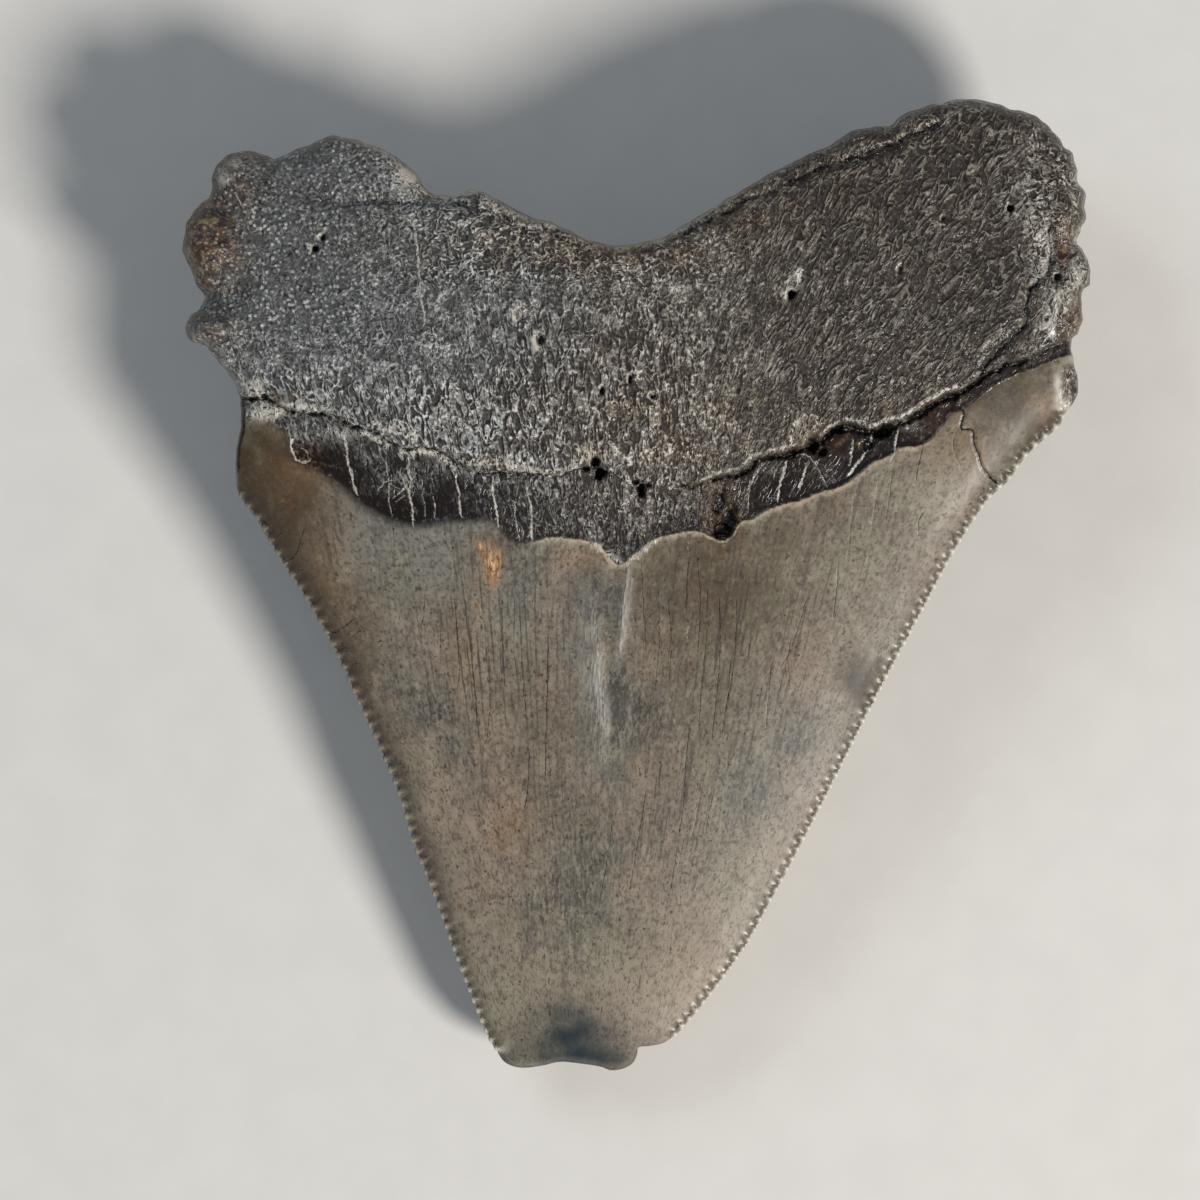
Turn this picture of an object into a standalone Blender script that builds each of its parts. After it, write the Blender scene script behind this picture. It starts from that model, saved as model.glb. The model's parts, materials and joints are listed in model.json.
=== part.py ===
# Megalodon tooth, one solid piece, lying on its lingual side with the labial face up.
#
# Frame: the origin is under the middle of the tooth on the surface that it lies on, +Z up.
# The broken tip points to -Y, the two root lobes to +Y. Sizes below are millimetres.
#
# The tooth is two sheets of points over one outline: the labial sheet above and the lingual
# sheet below, joined by a rim. The rim is thin and serrated along the two cutting edges,
# thick and rounded round the root, and a hollow break across the tip.

import math

import bpy
import bmesh
import numpy as np
from mathutils import Vector
from mathutils.geometry import delaunay_2d_cdt

MM = 0.001

# Mesh spacing
LABIAL_SPACING = 1.5
LINGUAL_SPACING = 1.9
ROOT_RIM_SPACING = 1.0
BREAK_SPACING = 0.8
LEDGE_SPACING = 1.1

# Serrations of the cutting edges
SERRATION_PITCH_TIP = 0.86
SERRATION_PITCH_SHOULDER = 1.10
SERRATION_DEPTH = 0.28
SERRATION_REACH = 1.0

# Rim
EDGE_THICKNESS = 0.40
ROOT_RIM_INSET = 0.50
LABIAL_RIM_RADIUS = 3.0
LINGUAL_RIM_RADIUS = 4.0
BREAK_RIM_RADIUS = 0.8
BREAK_HOLLOW = 0.35

# Steps of the labial face, measured from the enamel
ROOT_LIP_HEIGHT = 0.45
BAND_SINK = 0.25
LEDGE_WIDTH = 0.35
CRACK_DEPTH = 0.35

# Lingual side
BULGE_CENTRE = (0.0, 14.0)
BULGE_SPREAD = (18.0, 9.5)
BULGE_HEIGHT = 6.7
LOBE_BASE_HEIGHT = 6.3
LOBE_TIP_RISE = 1.2
FOOT_MIDDLE = (-0.5, 3.4)
FOOT_SLOPE_LEFT = 0.18
FOOT_SLOPE_RIGHT = 0.31
ROOT_FOOT_RISE = 1.2
BAND_WIDTH = 5.5
ENAMEL_STEP = 0.3
MINIMUM_THICKNESS = 0.35
THICK_RIM = 1.6

# ---------------------------------------------------------------- outline, seen from above
# Each stretch starts where the one before it ends, and they run anticlockwise.
TIP_BREAK = [
    (-11.1, -37.7), (-10.6, -38.4), (-9.8, -38.8), (-8.8, -38.9), (-7.4, -38.7), (-6.0, -38.4),
    (-4.0, -38.6), (-2.8, -38.8), (-1.9, -39.1), (-0.8, -38.9), (-0.1, -38.4), (0.2, -37.7),
    (0.3, -37.2), (1.2, -37.1), (2.2, -36.9), (2.9, -36.5),
]
RIGHT_EDGE = [
    (2.9, -36.5), (3.6, -35.9), (6.0, -33.1), (8.9, -29.1), (11.1, -25.1), (15.3, -17.1),
    (19.3, -9.1), (23.5, -1.1), (25.6, 2.9), (28.2, 6.9), (29.1, 7.8), (30.0, 8.7),
    (30.9, 10.0), (31.9, 11.1), (32.9, 12.0), (33.8, 12.8), (34.4, 13.9),
]
RIGHT_SHOULDER = [
    (34.4, 13.9), (35.1, 14.8), (35.4, 15.7), (35.3, 16.8), (35.0, 18.0), (34.8, 19.2),
]
RIGHT_ROOT_END = [
    (34.8, 19.2), (34.9, 19.9), (35.4, 20.4), (35.7, 21.7), (35.7, 22.9), (35.8, 23.8),
    (36.2, 24.1), (36.4, 24.9), (36.2, 26.0), (35.7, 26.8), (35.3, 27.5), (35.5, 28.4),
    (35.9, 29.2), (36.0, 30.1), (35.8, 31.6), (35.3, 32.7), (35.2, 33.7), (34.8, 34.7),
    (34.1, 35.3), (33.5, 36.4), (32.5, 37.3),
]
RIGHT_LOBE_TOP = [
    (32.5, 37.3), (31.4, 37.9), (30.0, 38.2), (29.2, 38.5), (28.0, 38.8), (26.4, 39.0),
    (25.0, 38.8), (23.2, 38.4), (21.4, 37.7), (20.4, 36.8), (18.9, 36.7), (17.3, 36.4),
    (15.8, 35.4), (13.6, 34.4), (11.2, 33.2), (8.4, 31.6), (5.6, 29.9), (3.2, 28.4),
]
SADDLE = [
    (3.2, 28.4), (1.6, 27.7), (-1.2, 27.2), (-3.6, 27.6), (-5.6, 28.5), (-7.0, 29.2), (-8.0, 29.3),
]
LEFT_LOBE_TOP = [
    (-8.0, 29.3), (-9.4, 30.0), (-11.0, 30.9), (-12.0, 31.4), (-13.1, 31.7), (-14.4, 31.3),
    (-15.6, 31.2), (-16.6, 31.6), (-17.2, 32.4), (-18.2, 33.6), (-19.6, 34.6), (-21.4, 35.4),
    (-23.2, 35.9), (-24.4, 36.0), (-26.2, 35.3), (-27.6, 34.7), (-28.9, 34.2),
]
LEFT_ROOT_END = [
    (-28.9, 34.2), (-30.0, 34.6), (-31.1, 34.8), (-32.3, 34.6), (-33.4, 33.7), (-33.9, 32.5),
    (-33.9, 31.2), (-34.8, 30.6), (-35.6, 29.5), (-36.1, 28.0), (-36.1, 26.8), (-35.5, 25.2),
    (-35.0, 24.0), (-34.4, 23.2), (-34.8, 22.3), (-35.6, 21.6), (-36.0, 20.8), (-35.8, 20.0),
    (-34.9, 19.4), (-34.0, 18.8), (-33.1, 17.6), (-32.1, 16.4), (-31.6, 15.1),
]
LEFT_SHOULDER = [
    (-31.6, 15.1), (-31.6, 12.9), (-32.0, 10.5), (-32.0, 8.9), (-31.9, 7.7),
]
LEFT_EDGE = [
    (-31.9, 7.7), (-31.4, 6.7), (-30.2, 5.2), (-29.1, 3.2), (-27.8, 1.1), (-26.4, -1.1),
    (-24.2, -5.1), (-22.4, -9.1), (-20.6, -13.1), (-19.1, -16.7), (-18.8, -17.6), (-18.0, -20.5),
    (-16.2, -25.1), (-14.8, -29.1), (-13.3, -33.1), (-12.0, -36.3), (-11.1, -37.7),
]

# ---------------------------------------------------------------- lines of the labial face
# The lower lip of the root, where it ends in a ledge over the crown
ROOT_LIP = [
    (-31.6, 15.1), (-29.6, 15.2), (-27.6, 14.3), (-24.0, 13.9), (-21.6, 12.7), (-19.5, 11.5),
    (-16.4, 10.5), (-14.0, 9.7), (-9.2, 9.3), (-3.6, 9.5), (-1.6, 8.7), (0.4, 7.7), (2.8, 7.2),
    (5.2, 7.1), (7.2, 7.6), (8.8, 8.5), (10.1, 9.6), (13.2, 10.9), (15.6, 11.9), (18.4, 12.8),
    (21.2, 13.7), (24.0, 14.8), (26.0, 15.6), (28.0, 17.5), (30.0, 18.0), (32.4, 19.0),
    (34.8, 19.2),
]
# The upper limit of the enamel, below the dark band
ENAMEL_TOP = [
    (-31.6, 14.0), (-27.6, 12.5), (-27.2, 10.1), (-25.2, 9.6), (-22.8, 7.1), (-20.4, 5.8),
    (-18.0, 5.0), (-15.6, 5.3), (-13.2, 5.5), (-10.8, 4.5), (-8.4, 3.6), (-6.0, 3.9), (-2.8, 3.3),
    (-1.1, 2.6), (1.2, 3.3), (4.4, 4.1), (6.4, 3.6), (8.0, 5.3), (10.8, 6.1), (15.6, 7.7),
    (18.8, 9.3), (22.4, 11.3), (25.2, 13.0), (27.2, 14.5), (29.6, 15.6), (32.4, 17.5),
    (34.8, 18.5),
]
# Layered growth lines of the root, near its upper margin
LEFT_LAYER = [(-22.0, 31.5), (-19.5, 31.0), (-17.5, 30.2), (-15.0, 30.2), (-12.5, 30.0),
              (-10.5, 29.0), (-8.5, 27.6)]
RIGHT_LAYER = [(2.5, 26.6), (5.0, 28.3), (8.5, 30.6), (12.0, 32.2), (15.5, 33.4), (18.8, 34.7),
               (22.0, 35.3), (25.0, 36.8)]
# The split across the right lobe
LOBE_SPLIT = [(33.0, 28.7), (33.2, 26.9), (32.8, 25.3), (31.6, 23.7), (31.1, 22.5), (30.8, 20.7),
              (29.8, 19.6), (28.8, 18.8), (28.0, 17.6)]

# Pits: centre x, y, radius, depth
PITS = [
    (-3.1, 9.3, 0.75, 1.2), (0.3, 7.5, 0.65, 1.0), (13.8, 12.0, 0.85, 1.1), (6.7, 5.2, 0.80, 0.8),
    (-25.4, 27.0, 0.70, 0.7), (-7.6, 19.6, 0.80, 0.8), (-9.2, 21.8, 0.90, 0.5),
    (12.4, 23.6, 0.80, 0.9), (29.7, 30.2, 0.70, 0.9), (-0.4, 16.5, 0.50, 0.5),
    (4.5, 16.4, 0.50, 0.5),
]
# Knobs and hollows of the root: centre x, y, spread x, spread y, height
ROOT_LUMPS = [
    (-32.0, 32.4, 2.0, 2.0, 0.9), (-34.0, 27.4, 2.2, 3.0, 1.1), (-34.0, 20.6, 2.2, 1.4, 1.0),
    (-33.2, 30.2, 1.6, 1.0, -0.8), (-33.0, 23.2, 2.0, 1.2, -0.9), (-24.0, 30.0, 5.0, 4.0, 0.4),
    (-14.0, 20.0, 7.0, 5.0, 0.35), (2.0, 22.0, 5.0, 4.0, -0.45), (17.0, 26.0, 7.0, 6.0, 0.4),
    (26.0, 32.0, 5.0, 4.0, 0.4), (33.5, 26.6, 1.8, 1.5, -0.7), (34.4, 24.4, 1.6, 1.6, 0.5),
    (34.0, 30.5, 2.2, 2.0, 0.4), (31.0, 23.0, 2.5, 3.0, 0.35),
]
# Swellings and hollows of the root's lingual side: centre x, y, spread x, spread y, depth
LINGUAL_LUMPS = [
    (-26.0, 27.0, 5.0, 5.0, 0.7), (-19.0, 19.0, 5.0, 3.5, -0.6), (-30.0, 18.0, 4.0, 4.0, 0.5),
    (25.0, 31.0, 6.0, 5.0, 0.8), (20.0, 22.0, 6.0, 4.0, -0.6), (31.0, 22.0, 4.0, 4.5, 0.5),
    (10.0, 25.0, 4.0, 3.0, 0.4), (-10.0, 25.0, 3.5, 3.0, 0.4),
]
# Foramina of the lingual side: centre x, y, radius, depth
FORAMINA = [(-1.5, 20.5, 0.9, 1.6), (3.6, 21.6, 0.6, 0.8), (-6.2, 18.6, 0.6, 0.8)]

# ---------------------------------------------------------------- profiles along the tooth
# Height of the labial face on the middle line, from the tip to the lobes
LABIAL_PROFILE = [(-40, 6.7), (-27, 9.3), (-12, 12.3), (0, 14.6), (8, 16.0), (15, 16.9),
                  (22, 17.2), (30, 16.9), (40, 15.7)]
# Fall of the labial face from the middle line to the sides
LABIAL_FALL = [(-40, 0.9), (-27, 1.4), (-12, 1.9), (0, 2.2), (15, 2.2), (30, 2.4), (40, 2.6)]
# Height of the lingual face of the crown on the middle line
LINGUAL_PROFILE = [(-40, 1.7), (-32, 0.45), (-25, -0.15), (-12, 0.25), (0, 1.1), (8, 2.6),
                   (16, 5.5), (40, 12.0)]
# Left and right limits of the tooth, without the knobs and serrations
LEFT_LIMIT = [(-40, -10.6), (-30, -14.5), (-15, -19.8), (0, -27.1), (7, -31.4), (14, -32.5),
              (24, -34.5), (40, -35.0)]
RIGHT_LIMIT = [(-40, 0.6), (-30, 8.2), (-15, 16.3), (0, 24.1), (8, 29.3), (14, 34.0),
               (24, 35.9), (40, 35.5)]
LENS_POWER = 2.2

# Colours: linear red, green, blue
ROOT_COLOUR = (0.085, 0.078, 0.068, 1.0)
BAND_COLOUR = (0.040, 0.030, 0.029, 1.0)
ENAMEL_COLOUR = (0.300, 0.250, 0.185, 1.0)


# ---------------------------------------------------------------- curves
def spline_at(values, table):
    """Natural cubic spline through a short table of (place, height) pairs."""
    xs = np.array([row[0] for row in table], float)
    ys = np.array([row[1] for row in table], float)
    h = np.diff(xs)
    count = len(xs)
    matrix = np.eye(count)
    right = np.zeros(count)
    for i in range(1, count - 1):
        matrix[i, i - 1:i + 2] = h[i - 1], 2 * (h[i - 1] + h[i]), h[i]
        right[i] = 6 * ((ys[i + 1] - ys[i]) / h[i] - (ys[i] - ys[i - 1]) / h[i - 1])
    bend = np.linalg.solve(matrix, right)
    values = np.clip(values, xs[0], xs[-1])
    i = np.clip(np.searchsorted(xs, values) - 1, 0, count - 2)
    a = (xs[i + 1] - values) / h[i]
    b = (values - xs[i]) / h[i]
    cubic = ((a ** 3 - a) * bend[i] + (b ** 3 - b) * bend[i + 1]) * h[i] ** 2 / 6
    return a * ys[i] + b * ys[i + 1] + cubic


def smooth_curve(points, spacing):
    """Points a given spacing apart on a Catmull-Rom curve through the given points."""
    pts = np.array(points, float)
    pts = np.vstack([2 * pts[0] - pts[1], pts, 2 * pts[-1] - pts[-2]])
    dense = []
    for i in range(1, len(pts) - 2):
        p0, p1, p2, p3 = pts[i - 1:i + 3]
        for t in np.linspace(0, 1, 12, endpoint=False):
            dense.append(0.5 * (2 * p1 + (p2 - p0) * t + (2 * p0 - 5 * p1 + 4 * p2 - p3) * t ** 2
                                + (3 * p1 - p0 - 3 * p2 + p3) * t ** 3))
    dense.append(pts[-2])
    dense = np.array(dense)
    run = np.concatenate([[0], np.cumsum(np.hypot(*np.diff(dense, axis=0).T))])
    count = max(2, round(run[-1] / spacing) + 1)
    places = np.linspace(0, run[-1], count)
    return np.column_stack([np.interp(places, run, dense[:, k]) for k in (0, 1)])


def nearest_on_line(x, y, line):
    """Distance to a line of points, the side (positive on its left) and the nearest place on it."""
    start, step = line[:-1], np.diff(line, axis=0)
    length2 = (step ** 2).sum(axis=1)
    dx = x[:, None] - start[:, 0]
    dy = y[:, None] - start[:, 1]
    t = np.clip((dx * step[:, 0] + dy * step[:, 1]) / length2, 0, 1)
    away = np.hypot(dx - t * step[:, 0], dy - t * step[:, 1])
    best = away.argmin(axis=1)
    rows = np.arange(len(x))
    side = np.sign(step[best, 0] * dy[rows, best] - step[best, 1] * dx[rows, best])
    return away[rows, best], side, best + t[rows, best]


def ramp(value, low, high):
    """Smooth step from 0 at low to 1 at high."""
    t = np.clip((value - low) / (high - low), 0, 1)
    return t * t * (3 - 2 * t)


def ripple(index, seed):
    """A repeatable uneven number between -1 and 1 for each index."""
    return math.sin(index * 12.9898 + seed * 4.1414) * math.cos(index * 3.7 + seed)


# ---------------------------------------------------------------- outline
class Outline:
    """The closed outline: its points, inward directions and how each point is finished."""

    def __init__(self):
        self.points = []
        self.plain = []       # the same points without the serrations
        self.root = []        # 1 round the root, 0 on the cutting edges
        self.broken = []      # 1 on the break of the tip
        self.notch = []       # 1 in the notch between two serrations

    def add(self, points, root, broken, notch=None, plain=None):
        # The last point of a stretch is the first of the next one
        for i, point in enumerate(points[:-1]):
            self.points.append(point)
            self.plain.append(plain[i] if plain else point)
            self.root.append(root)
            self.broken.append(broken)
            self.notch.append(notch[i] if notch else 0.0)

    def finish(self):
        self.points = np.array(self.points)
        self.plain = np.array(self.plain)
        self.root = soften(np.array(self.root, float), 4)
        self.broken = soften(np.array(self.broken, float), 2)
        self.notch = np.array(self.notch, float)
        ahead = np.roll(self.points, -1, axis=0) - np.roll(self.points, 1, axis=0)
        self.inward = np.column_stack([-ahead[:, 1], ahead[:, 0]])
        self.inward /= np.hypot(*self.inward.T)[:, None]


def soften(values, passes):
    for _ in range(passes):
        values = (np.roll(values, 1) + values + np.roll(values, -1)) / 3
    return values


def serrated(points, pitch_start, pitch_end, seed):
    """A cutting edge as notches and beads: two points on each bead and one in each notch."""
    line = smooth_curve(points, 0.1)
    run = np.concatenate([[0], np.cumsum(np.hypot(*np.diff(line, axis=0).T))])
    marks = [0.0]
    while marks[-1] < run[-1] - 0.6 * pitch_end:
        share = marks[-1] / run[-1]
        pitch = pitch_start + (pitch_end - pitch_start) * share
        marks.append(marks[-1] + pitch * (1 + 0.16 * ripple(len(marks), seed)))
    marks = np.array(marks) * run[-1] / marks[-1]
    edge = []
    plain = []
    notch = []
    for k in range(len(marks) - 1):
        depth = SERRATION_DEPTH * (1 + 0.35 * ripple(k, seed + 2))
        for share, inset, value in ((0.0, depth, 1.0), (0.30, 0.02, 0.0), (0.72, 0.0, 0.0)):
            place = marks[k] + share * (marks[k + 1] - marks[k])
            point = np.array([np.interp(place, run, line[:, 0]), np.interp(place, run, line[:, 1])])
            i = min(np.searchsorted(run, place), len(run) - 2)
            ahead = (line[i + 1] - line[i - 1]) if i else (line[1] - line[0])
            inward = np.array([-ahead[1], ahead[0]]) / np.hypot(*ahead)
            edge.append(point + inward * inset * (k > 0 or share > 0))
            plain.append(point)
            notch.append(value)
    edge.append(line[-1])
    return edge, notch, plain


def make_outline():
    outline = Outline()
    outline.add(smooth_curve(TIP_BREAK, BREAK_SPACING), 0, 1)
    edge, notch, plain = serrated(RIGHT_EDGE, SERRATION_PITCH_TIP, SERRATION_PITCH_SHOULDER, 1)
    outline.add(edge, 0, 0, notch, plain)
    outline.add(smooth_curve(RIGHT_SHOULDER, ROOT_RIM_SPACING), 0.4, 0)
    for stretch in (RIGHT_ROOT_END, RIGHT_LOBE_TOP, SADDLE, LEFT_LOBE_TOP, LEFT_ROOT_END):
        outline.add(smooth_curve(stretch, ROOT_RIM_SPACING), 1, 0)
    outline.add(smooth_curve(LEFT_SHOULDER, ROOT_RIM_SPACING), 0.5, 0)
    edge, notch, plain = serrated(LEFT_EDGE, SERRATION_PITCH_SHOULDER, SERRATION_PITCH_TIP, 5)
    outline.add(edge, 0, 0, notch, plain)
    outline.finish()
    return outline


# ---------------------------------------------------------------- heights
def across(x, y):
    """Place across the tooth: -1 at its left limit, 0 in the middle, 1 at its right limit."""
    left = spline_at(y, LEFT_LIMIT)
    right = spline_at(y, RIGHT_LIMIT)
    return np.clip((2 * x - left - right) / (right - left), -1.05, 1.05)


def rim_fall(depth_inside, radius):
    """Fall of a rounded rim of the given radius at a distance inside the outline."""
    inside = np.clip(depth_inside / radius, 0, 1)
    return radius * (1 - np.sqrt(1 - (1 - inside) ** 2))


def rim_at(x, y, outline):
    """Distance inside the outline, and the finish of the nearest stretch of it."""
    closed = np.vstack([outline.points, outline.points[:1]])
    away, _, place = nearest_on_line(x, y, closed)
    count = len(outline.points)

    def look_up(values):
        return np.interp(place, np.arange(count + 1), np.append(values, values[0]))

    return away, look_up(outline.root), look_up(outline.broken), look_up(outline.notch)


def bump(x, y, centre_x, centre_y, spread_x, spread_y):
    return np.exp(-((x - centre_x) / spread_x) ** 2 - ((y - centre_y) / spread_y) ** 2)


def labial_height(x, y, outline, lines):
    """Height of the upper, labial sheet."""
    z = spline_at(y, LABIAL_PROFILE) - spline_at(y, LABIAL_FALL) * across(x, y) ** 2

    # A shallow hollow in the middle of the crown's base, and the fold that runs down from it
    z -= 0.8 * bump(x, y, -1.0, 4.0, 10.0, 8.0)
    fold_x = -1.6 - 0.03 * (2.0 - y)
    fold_run = ramp(y, -24.0, -14.0) * (1 - ramp(y, 0.0, 4.0))
    z += 0.25 * fold_run * np.exp(-((x - fold_x) / 1.3) ** 2)
    z -= 0.25 * fold_run * np.exp(-((x - fold_x - 2.6) / 1.5) ** 2)

    # Root over band over enamel
    lip_away, lip_side, _ = nearest_on_line(x, y, lines["lip"])
    top_away, top_side, _ = nearest_on_line(x, y, lines["enamel"])
    over_lip = ramp(lip_away * lip_side, -LEDGE_WIDTH, 0.0)
    over_enamel = ramp(top_away * top_side, -0.2, 0.6)
    z += ROOT_LIP_HEIGHT * over_lip - BAND_SINK * over_enamel * (1 - over_lip)
    z -= CRACK_DEPTH * np.exp(-((lip_away * lip_side + LEDGE_WIDTH) / 0.4) ** 2)

    # Layers and split of the root
    for name, height in (("left layer", 0.35), ("right layer", 0.45)):
        away, _, _ = nearest_on_line(x, y, lines[name])
        z -= height * np.exp(-(away / 0.9) ** 2)
    away, _, _ = nearest_on_line(x, y, lines["split"])
    z -= 0.45 * np.exp(-(away / 0.7) ** 2)
    for centre_x, centre_y, spread_x, spread_y, height in ROOT_LUMPS:
        z += height * bump(x, y, centre_x, centre_y, spread_x, spread_y)
    for centre_x, centre_y, radius, depth in PITS:
        z -= depth * bump(x, y, centre_x, centre_y, radius, radius)

    # Chips: the worn end of the crown, the right shoulder and the left lobe's upper corner
    z -= 0.9 * bump(x, y, -5.5, -40.0, 5.5, 3.2)
    z -= 0.9 * bump(x, y, 35.8, 15.8, 1.3, 1.7)
    z -= 1.0 * bump(x, y, -17.2, 33.8, 1.6, 1.4)

    # Rounded rim round the root, thin rim with a groove at each notch on the cutting edges
    inside, root, broken, notch = rim_at(x, y, outline)
    z -= root * rim_fall(inside, LABIAL_RIM_RADIUS)
    z -= broken * rim_fall(inside, BREAK_RIM_RADIUS)
    z -= (1 - root) * (1 - broken) * 0.35 * np.exp(-inside / SERRATION_REACH)
    z -= 0.18 * notch * np.exp(-inside / SERRATION_REACH)
    return z


def root_foot(x):
    """Where the root ends on the lingual side: a wide V with its point towards the tip."""
    middle_x, middle_y = FOOT_MIDDLE
    mean_slope = 0.5 * (FOOT_SLOPE_LEFT + FOOT_SLOPE_RIGHT)
    slope = mean_slope + 0.5 * (FOOT_SLOPE_RIGHT - FOOT_SLOPE_LEFT) * np.tanh((x - middle_x) / 6)
    return middle_y + slope * np.sqrt((x - middle_x) ** 2 + 9)


def lingual_height(x, y, outline, labial):
    """Height of the lower, lingual sheet, kept under the labial one and on the surface."""
    place = across(x, y)
    edge = spline_at(y, LABIAL_PROFILE) - spline_at(y, LABIAL_FALL) - 0.35 - EDGE_THICKNESS
    middle = spline_at(y, LINGUAL_PROFILE)
    crown = middle + (edge - middle) * np.minimum(np.abs(place), 1) ** LENS_POWER

    foot = root_foot(x)
    root = LOBE_BASE_HEIGHT - BULGE_HEIGHT * bump(x, y, *BULGE_CENTRE, *BULGE_SPREAD)
    root += LOBE_TIP_RISE * ramp(np.hypot(x, y - 8.0), 22.0, 42.0)
    root += 2.0 * bump(x, y, -1.0, 27.0, 7.0, 4.5)
    root += ROOT_FOOT_RISE * np.maximum(foot - y, 0)
    inside, rim, broken, _ = rim_at(x, y, outline)
    root += rim_fall(inside, LINGUAL_RIM_RADIUS) * np.maximum(rim, ramp(y, 9.0, 13.0))
    crown += broken * rim_fall(inside, BREAK_RIM_RADIUS)

    # Enamel stands over the band that parts it from the root
    crown -= ENAMEL_STEP * ramp(foot - BAND_WIDTH - y, -0.3, 0.3)
    crown += ENAMEL_STEP

    for centre_x, centre_y, spread_x, spread_y, depth in LINGUAL_LUMPS:
        root -= depth * bump(x, y, centre_x, centre_y, spread_x, spread_y)
    for centre_x, centre_y, radius, depth in FORAMINA:
        root += depth * bump(x, y, centre_x, centre_y, radius, radius)

    blend = 0.7
    mix = np.clip(0.5 + 0.5 * (root - crown) / blend, 0, 1)
    z = root * (1 - mix) + crown * mix - blend * mix * (1 - mix)
    z = np.maximum(z, 0.0)
    return np.minimum(z, labial - MINIMUM_THICKNESS)


# ---------------------------------------------------------------- sheets
def grid_points(spacing, outline, keep_clear, clear_of):
    """Staggered points inside the outline, kept clear of the rim and of the given points."""
    low = outline.points.min(axis=0)
    high = outline.points.max(axis=0)
    rows = np.arange(low[1], high[1], spacing * math.sqrt(3) / 2)
    grid = []
    for i, row in enumerate(rows):
        for j, column in enumerate(np.arange(low[0], high[0], spacing)):
            shift = 0.5 * spacing * (i % 2)
            grid.append((column + shift + 0.12 * spacing * ripple(7 * i + j, 3),
                         row + 0.12 * spacing * ripple(5 * j + i, 9)))
    grid = np.array(grid)
    inside = inside_outline(grid, outline.points)
    grid = grid[inside]
    away, _, _, _ = rim_at(grid[:, 0], grid[:, 1], outline)
    grid = grid[away > keep_clear]
    if len(clear_of):
        gap = np.hypot(grid[:, None, 0] - clear_of[:, 0], grid[:, None, 1] - clear_of[:, 1])
        grid = grid[gap.min(axis=1) > 0.6 * spacing]
    return grid


def inside_outline(points, loop):
    """True for the points inside a closed loop, by counting crossings."""
    x, y = points[:, :1], points[:, 1:]
    ax, ay = loop[:, 0], loop[:, 1]
    bx, by = np.roll(ax, -1), np.roll(ay, -1)
    crosses = (ay > y) != (by > y)
    rise = np.where(by == ay, 1e-9, by - ay)
    return (crosses & (x < (bx - ax) * (y - ay) / rise + ax)).sum(axis=1) % 2 == 1


def pit_ring(centre_x, centre_y, radius):
    turn = [k * math.tau / 6 for k in range(6)]
    ring = [(centre_x + radius * math.cos(a), centre_y + radius * math.sin(a)) for a in turn]
    return [(centre_x, centre_y)] + ring


def labial_marks(outline, lines):
    """Points that hold the ledge, the enamel's edge, the pits and the serrations' grooves."""
    lip = lines["lip"][2:-2]
    ahead = np.gradient(lip, axis=0)
    left = np.column_stack([-ahead[:, 1], ahead[:, 0]]) / np.hypot(*ahead.T)[:, None]
    marks = [lip, lip - left * LEDGE_WIDTH, lines["enamel"][3:-3]]
    marks += [np.array(pit_ring(*pit[:3])) for pit in PITS]
    crown = np.flatnonzero((outline.root < 0.05) & (outline.broken < 0.05))
    grooves = crown[outline.notch[crown] > 0.5]
    beads = crown[(outline.notch[crown] < 0.5) & (np.roll(outline.notch, -1)[crown] > 0.5)]
    for chosen, depth in ((grooves, 0.75), (beads, 0.95)):
        marks.append(outline.points[chosen] + outline.inward[chosen] * depth)
    marks = np.vstack(marks)
    marks = marks[inside_outline(marks, outline.points)]
    away, _, _, _ = rim_at(marks[:, 0], marks[:, 1], outline)
    return thinned(marks[away > 0.5], 0.30)


def thinned(points, gap):
    """The points in order, without any that lies closer than gap to one kept before it."""
    kept = []
    for point in points:
        if all((point[0] - k[0]) ** 2 + (point[1] - k[1]) ** 2 > gap ** 2 for k in kept):
            kept.append(point)
    return np.array(kept)


def sheet(outline, inner):
    """Triangles over the outline and the inner points, as indices into both in that order."""
    points = [Vector(p) for p in np.vstack([outline.points, inner])]
    loop = list(range(len(outline.points)))
    flat, _, faces, origin, _, _ = delaunay_2d_cdt(points, [], [loop], 1, 1e-6)
    if len(flat) != len(points):
        raise ValueError("the sheet's points fell together")
    names = [group[0] for group in origin]
    triangles = []
    for face in faces:
        a, b, c = (names[i] for i in face)
        area = (points[b] - points[a]).cross(points[c] - points[a])
        triangles.append((a, b, c) if area > 0 else (a, c, b))
    return triangles


# ---------------------------------------------------------------- materials and object
def finish(name, colour, roughness):
    material = bpy.data.materials.new(name)
    material.use_nodes = True
    shader = material.node_tree.nodes["Principled BSDF"]
    shader.inputs["Base Color"].default_value = colour
    shader.inputs["Roughness"].default_value = roughness
    shader.inputs["Metallic"].default_value = 0.0
    return material


def zone_of(x, y, up, lines):
    """0 for root, 1 for the dark band, 2 for enamel, for each face centre."""
    if not up:
        foot = root_foot(x)
        return np.where(y > foot, 0, np.where(y > foot - BAND_WIDTH, 1, 2))
    lip_away, lip_side, _ = nearest_on_line(x, y, lines["lip"])
    top_away, top_side, _ = nearest_on_line(x, y, lines["enamel"])
    return np.where(lip_side > 0, 0, np.where(top_side > 0, 1, 2))


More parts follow.
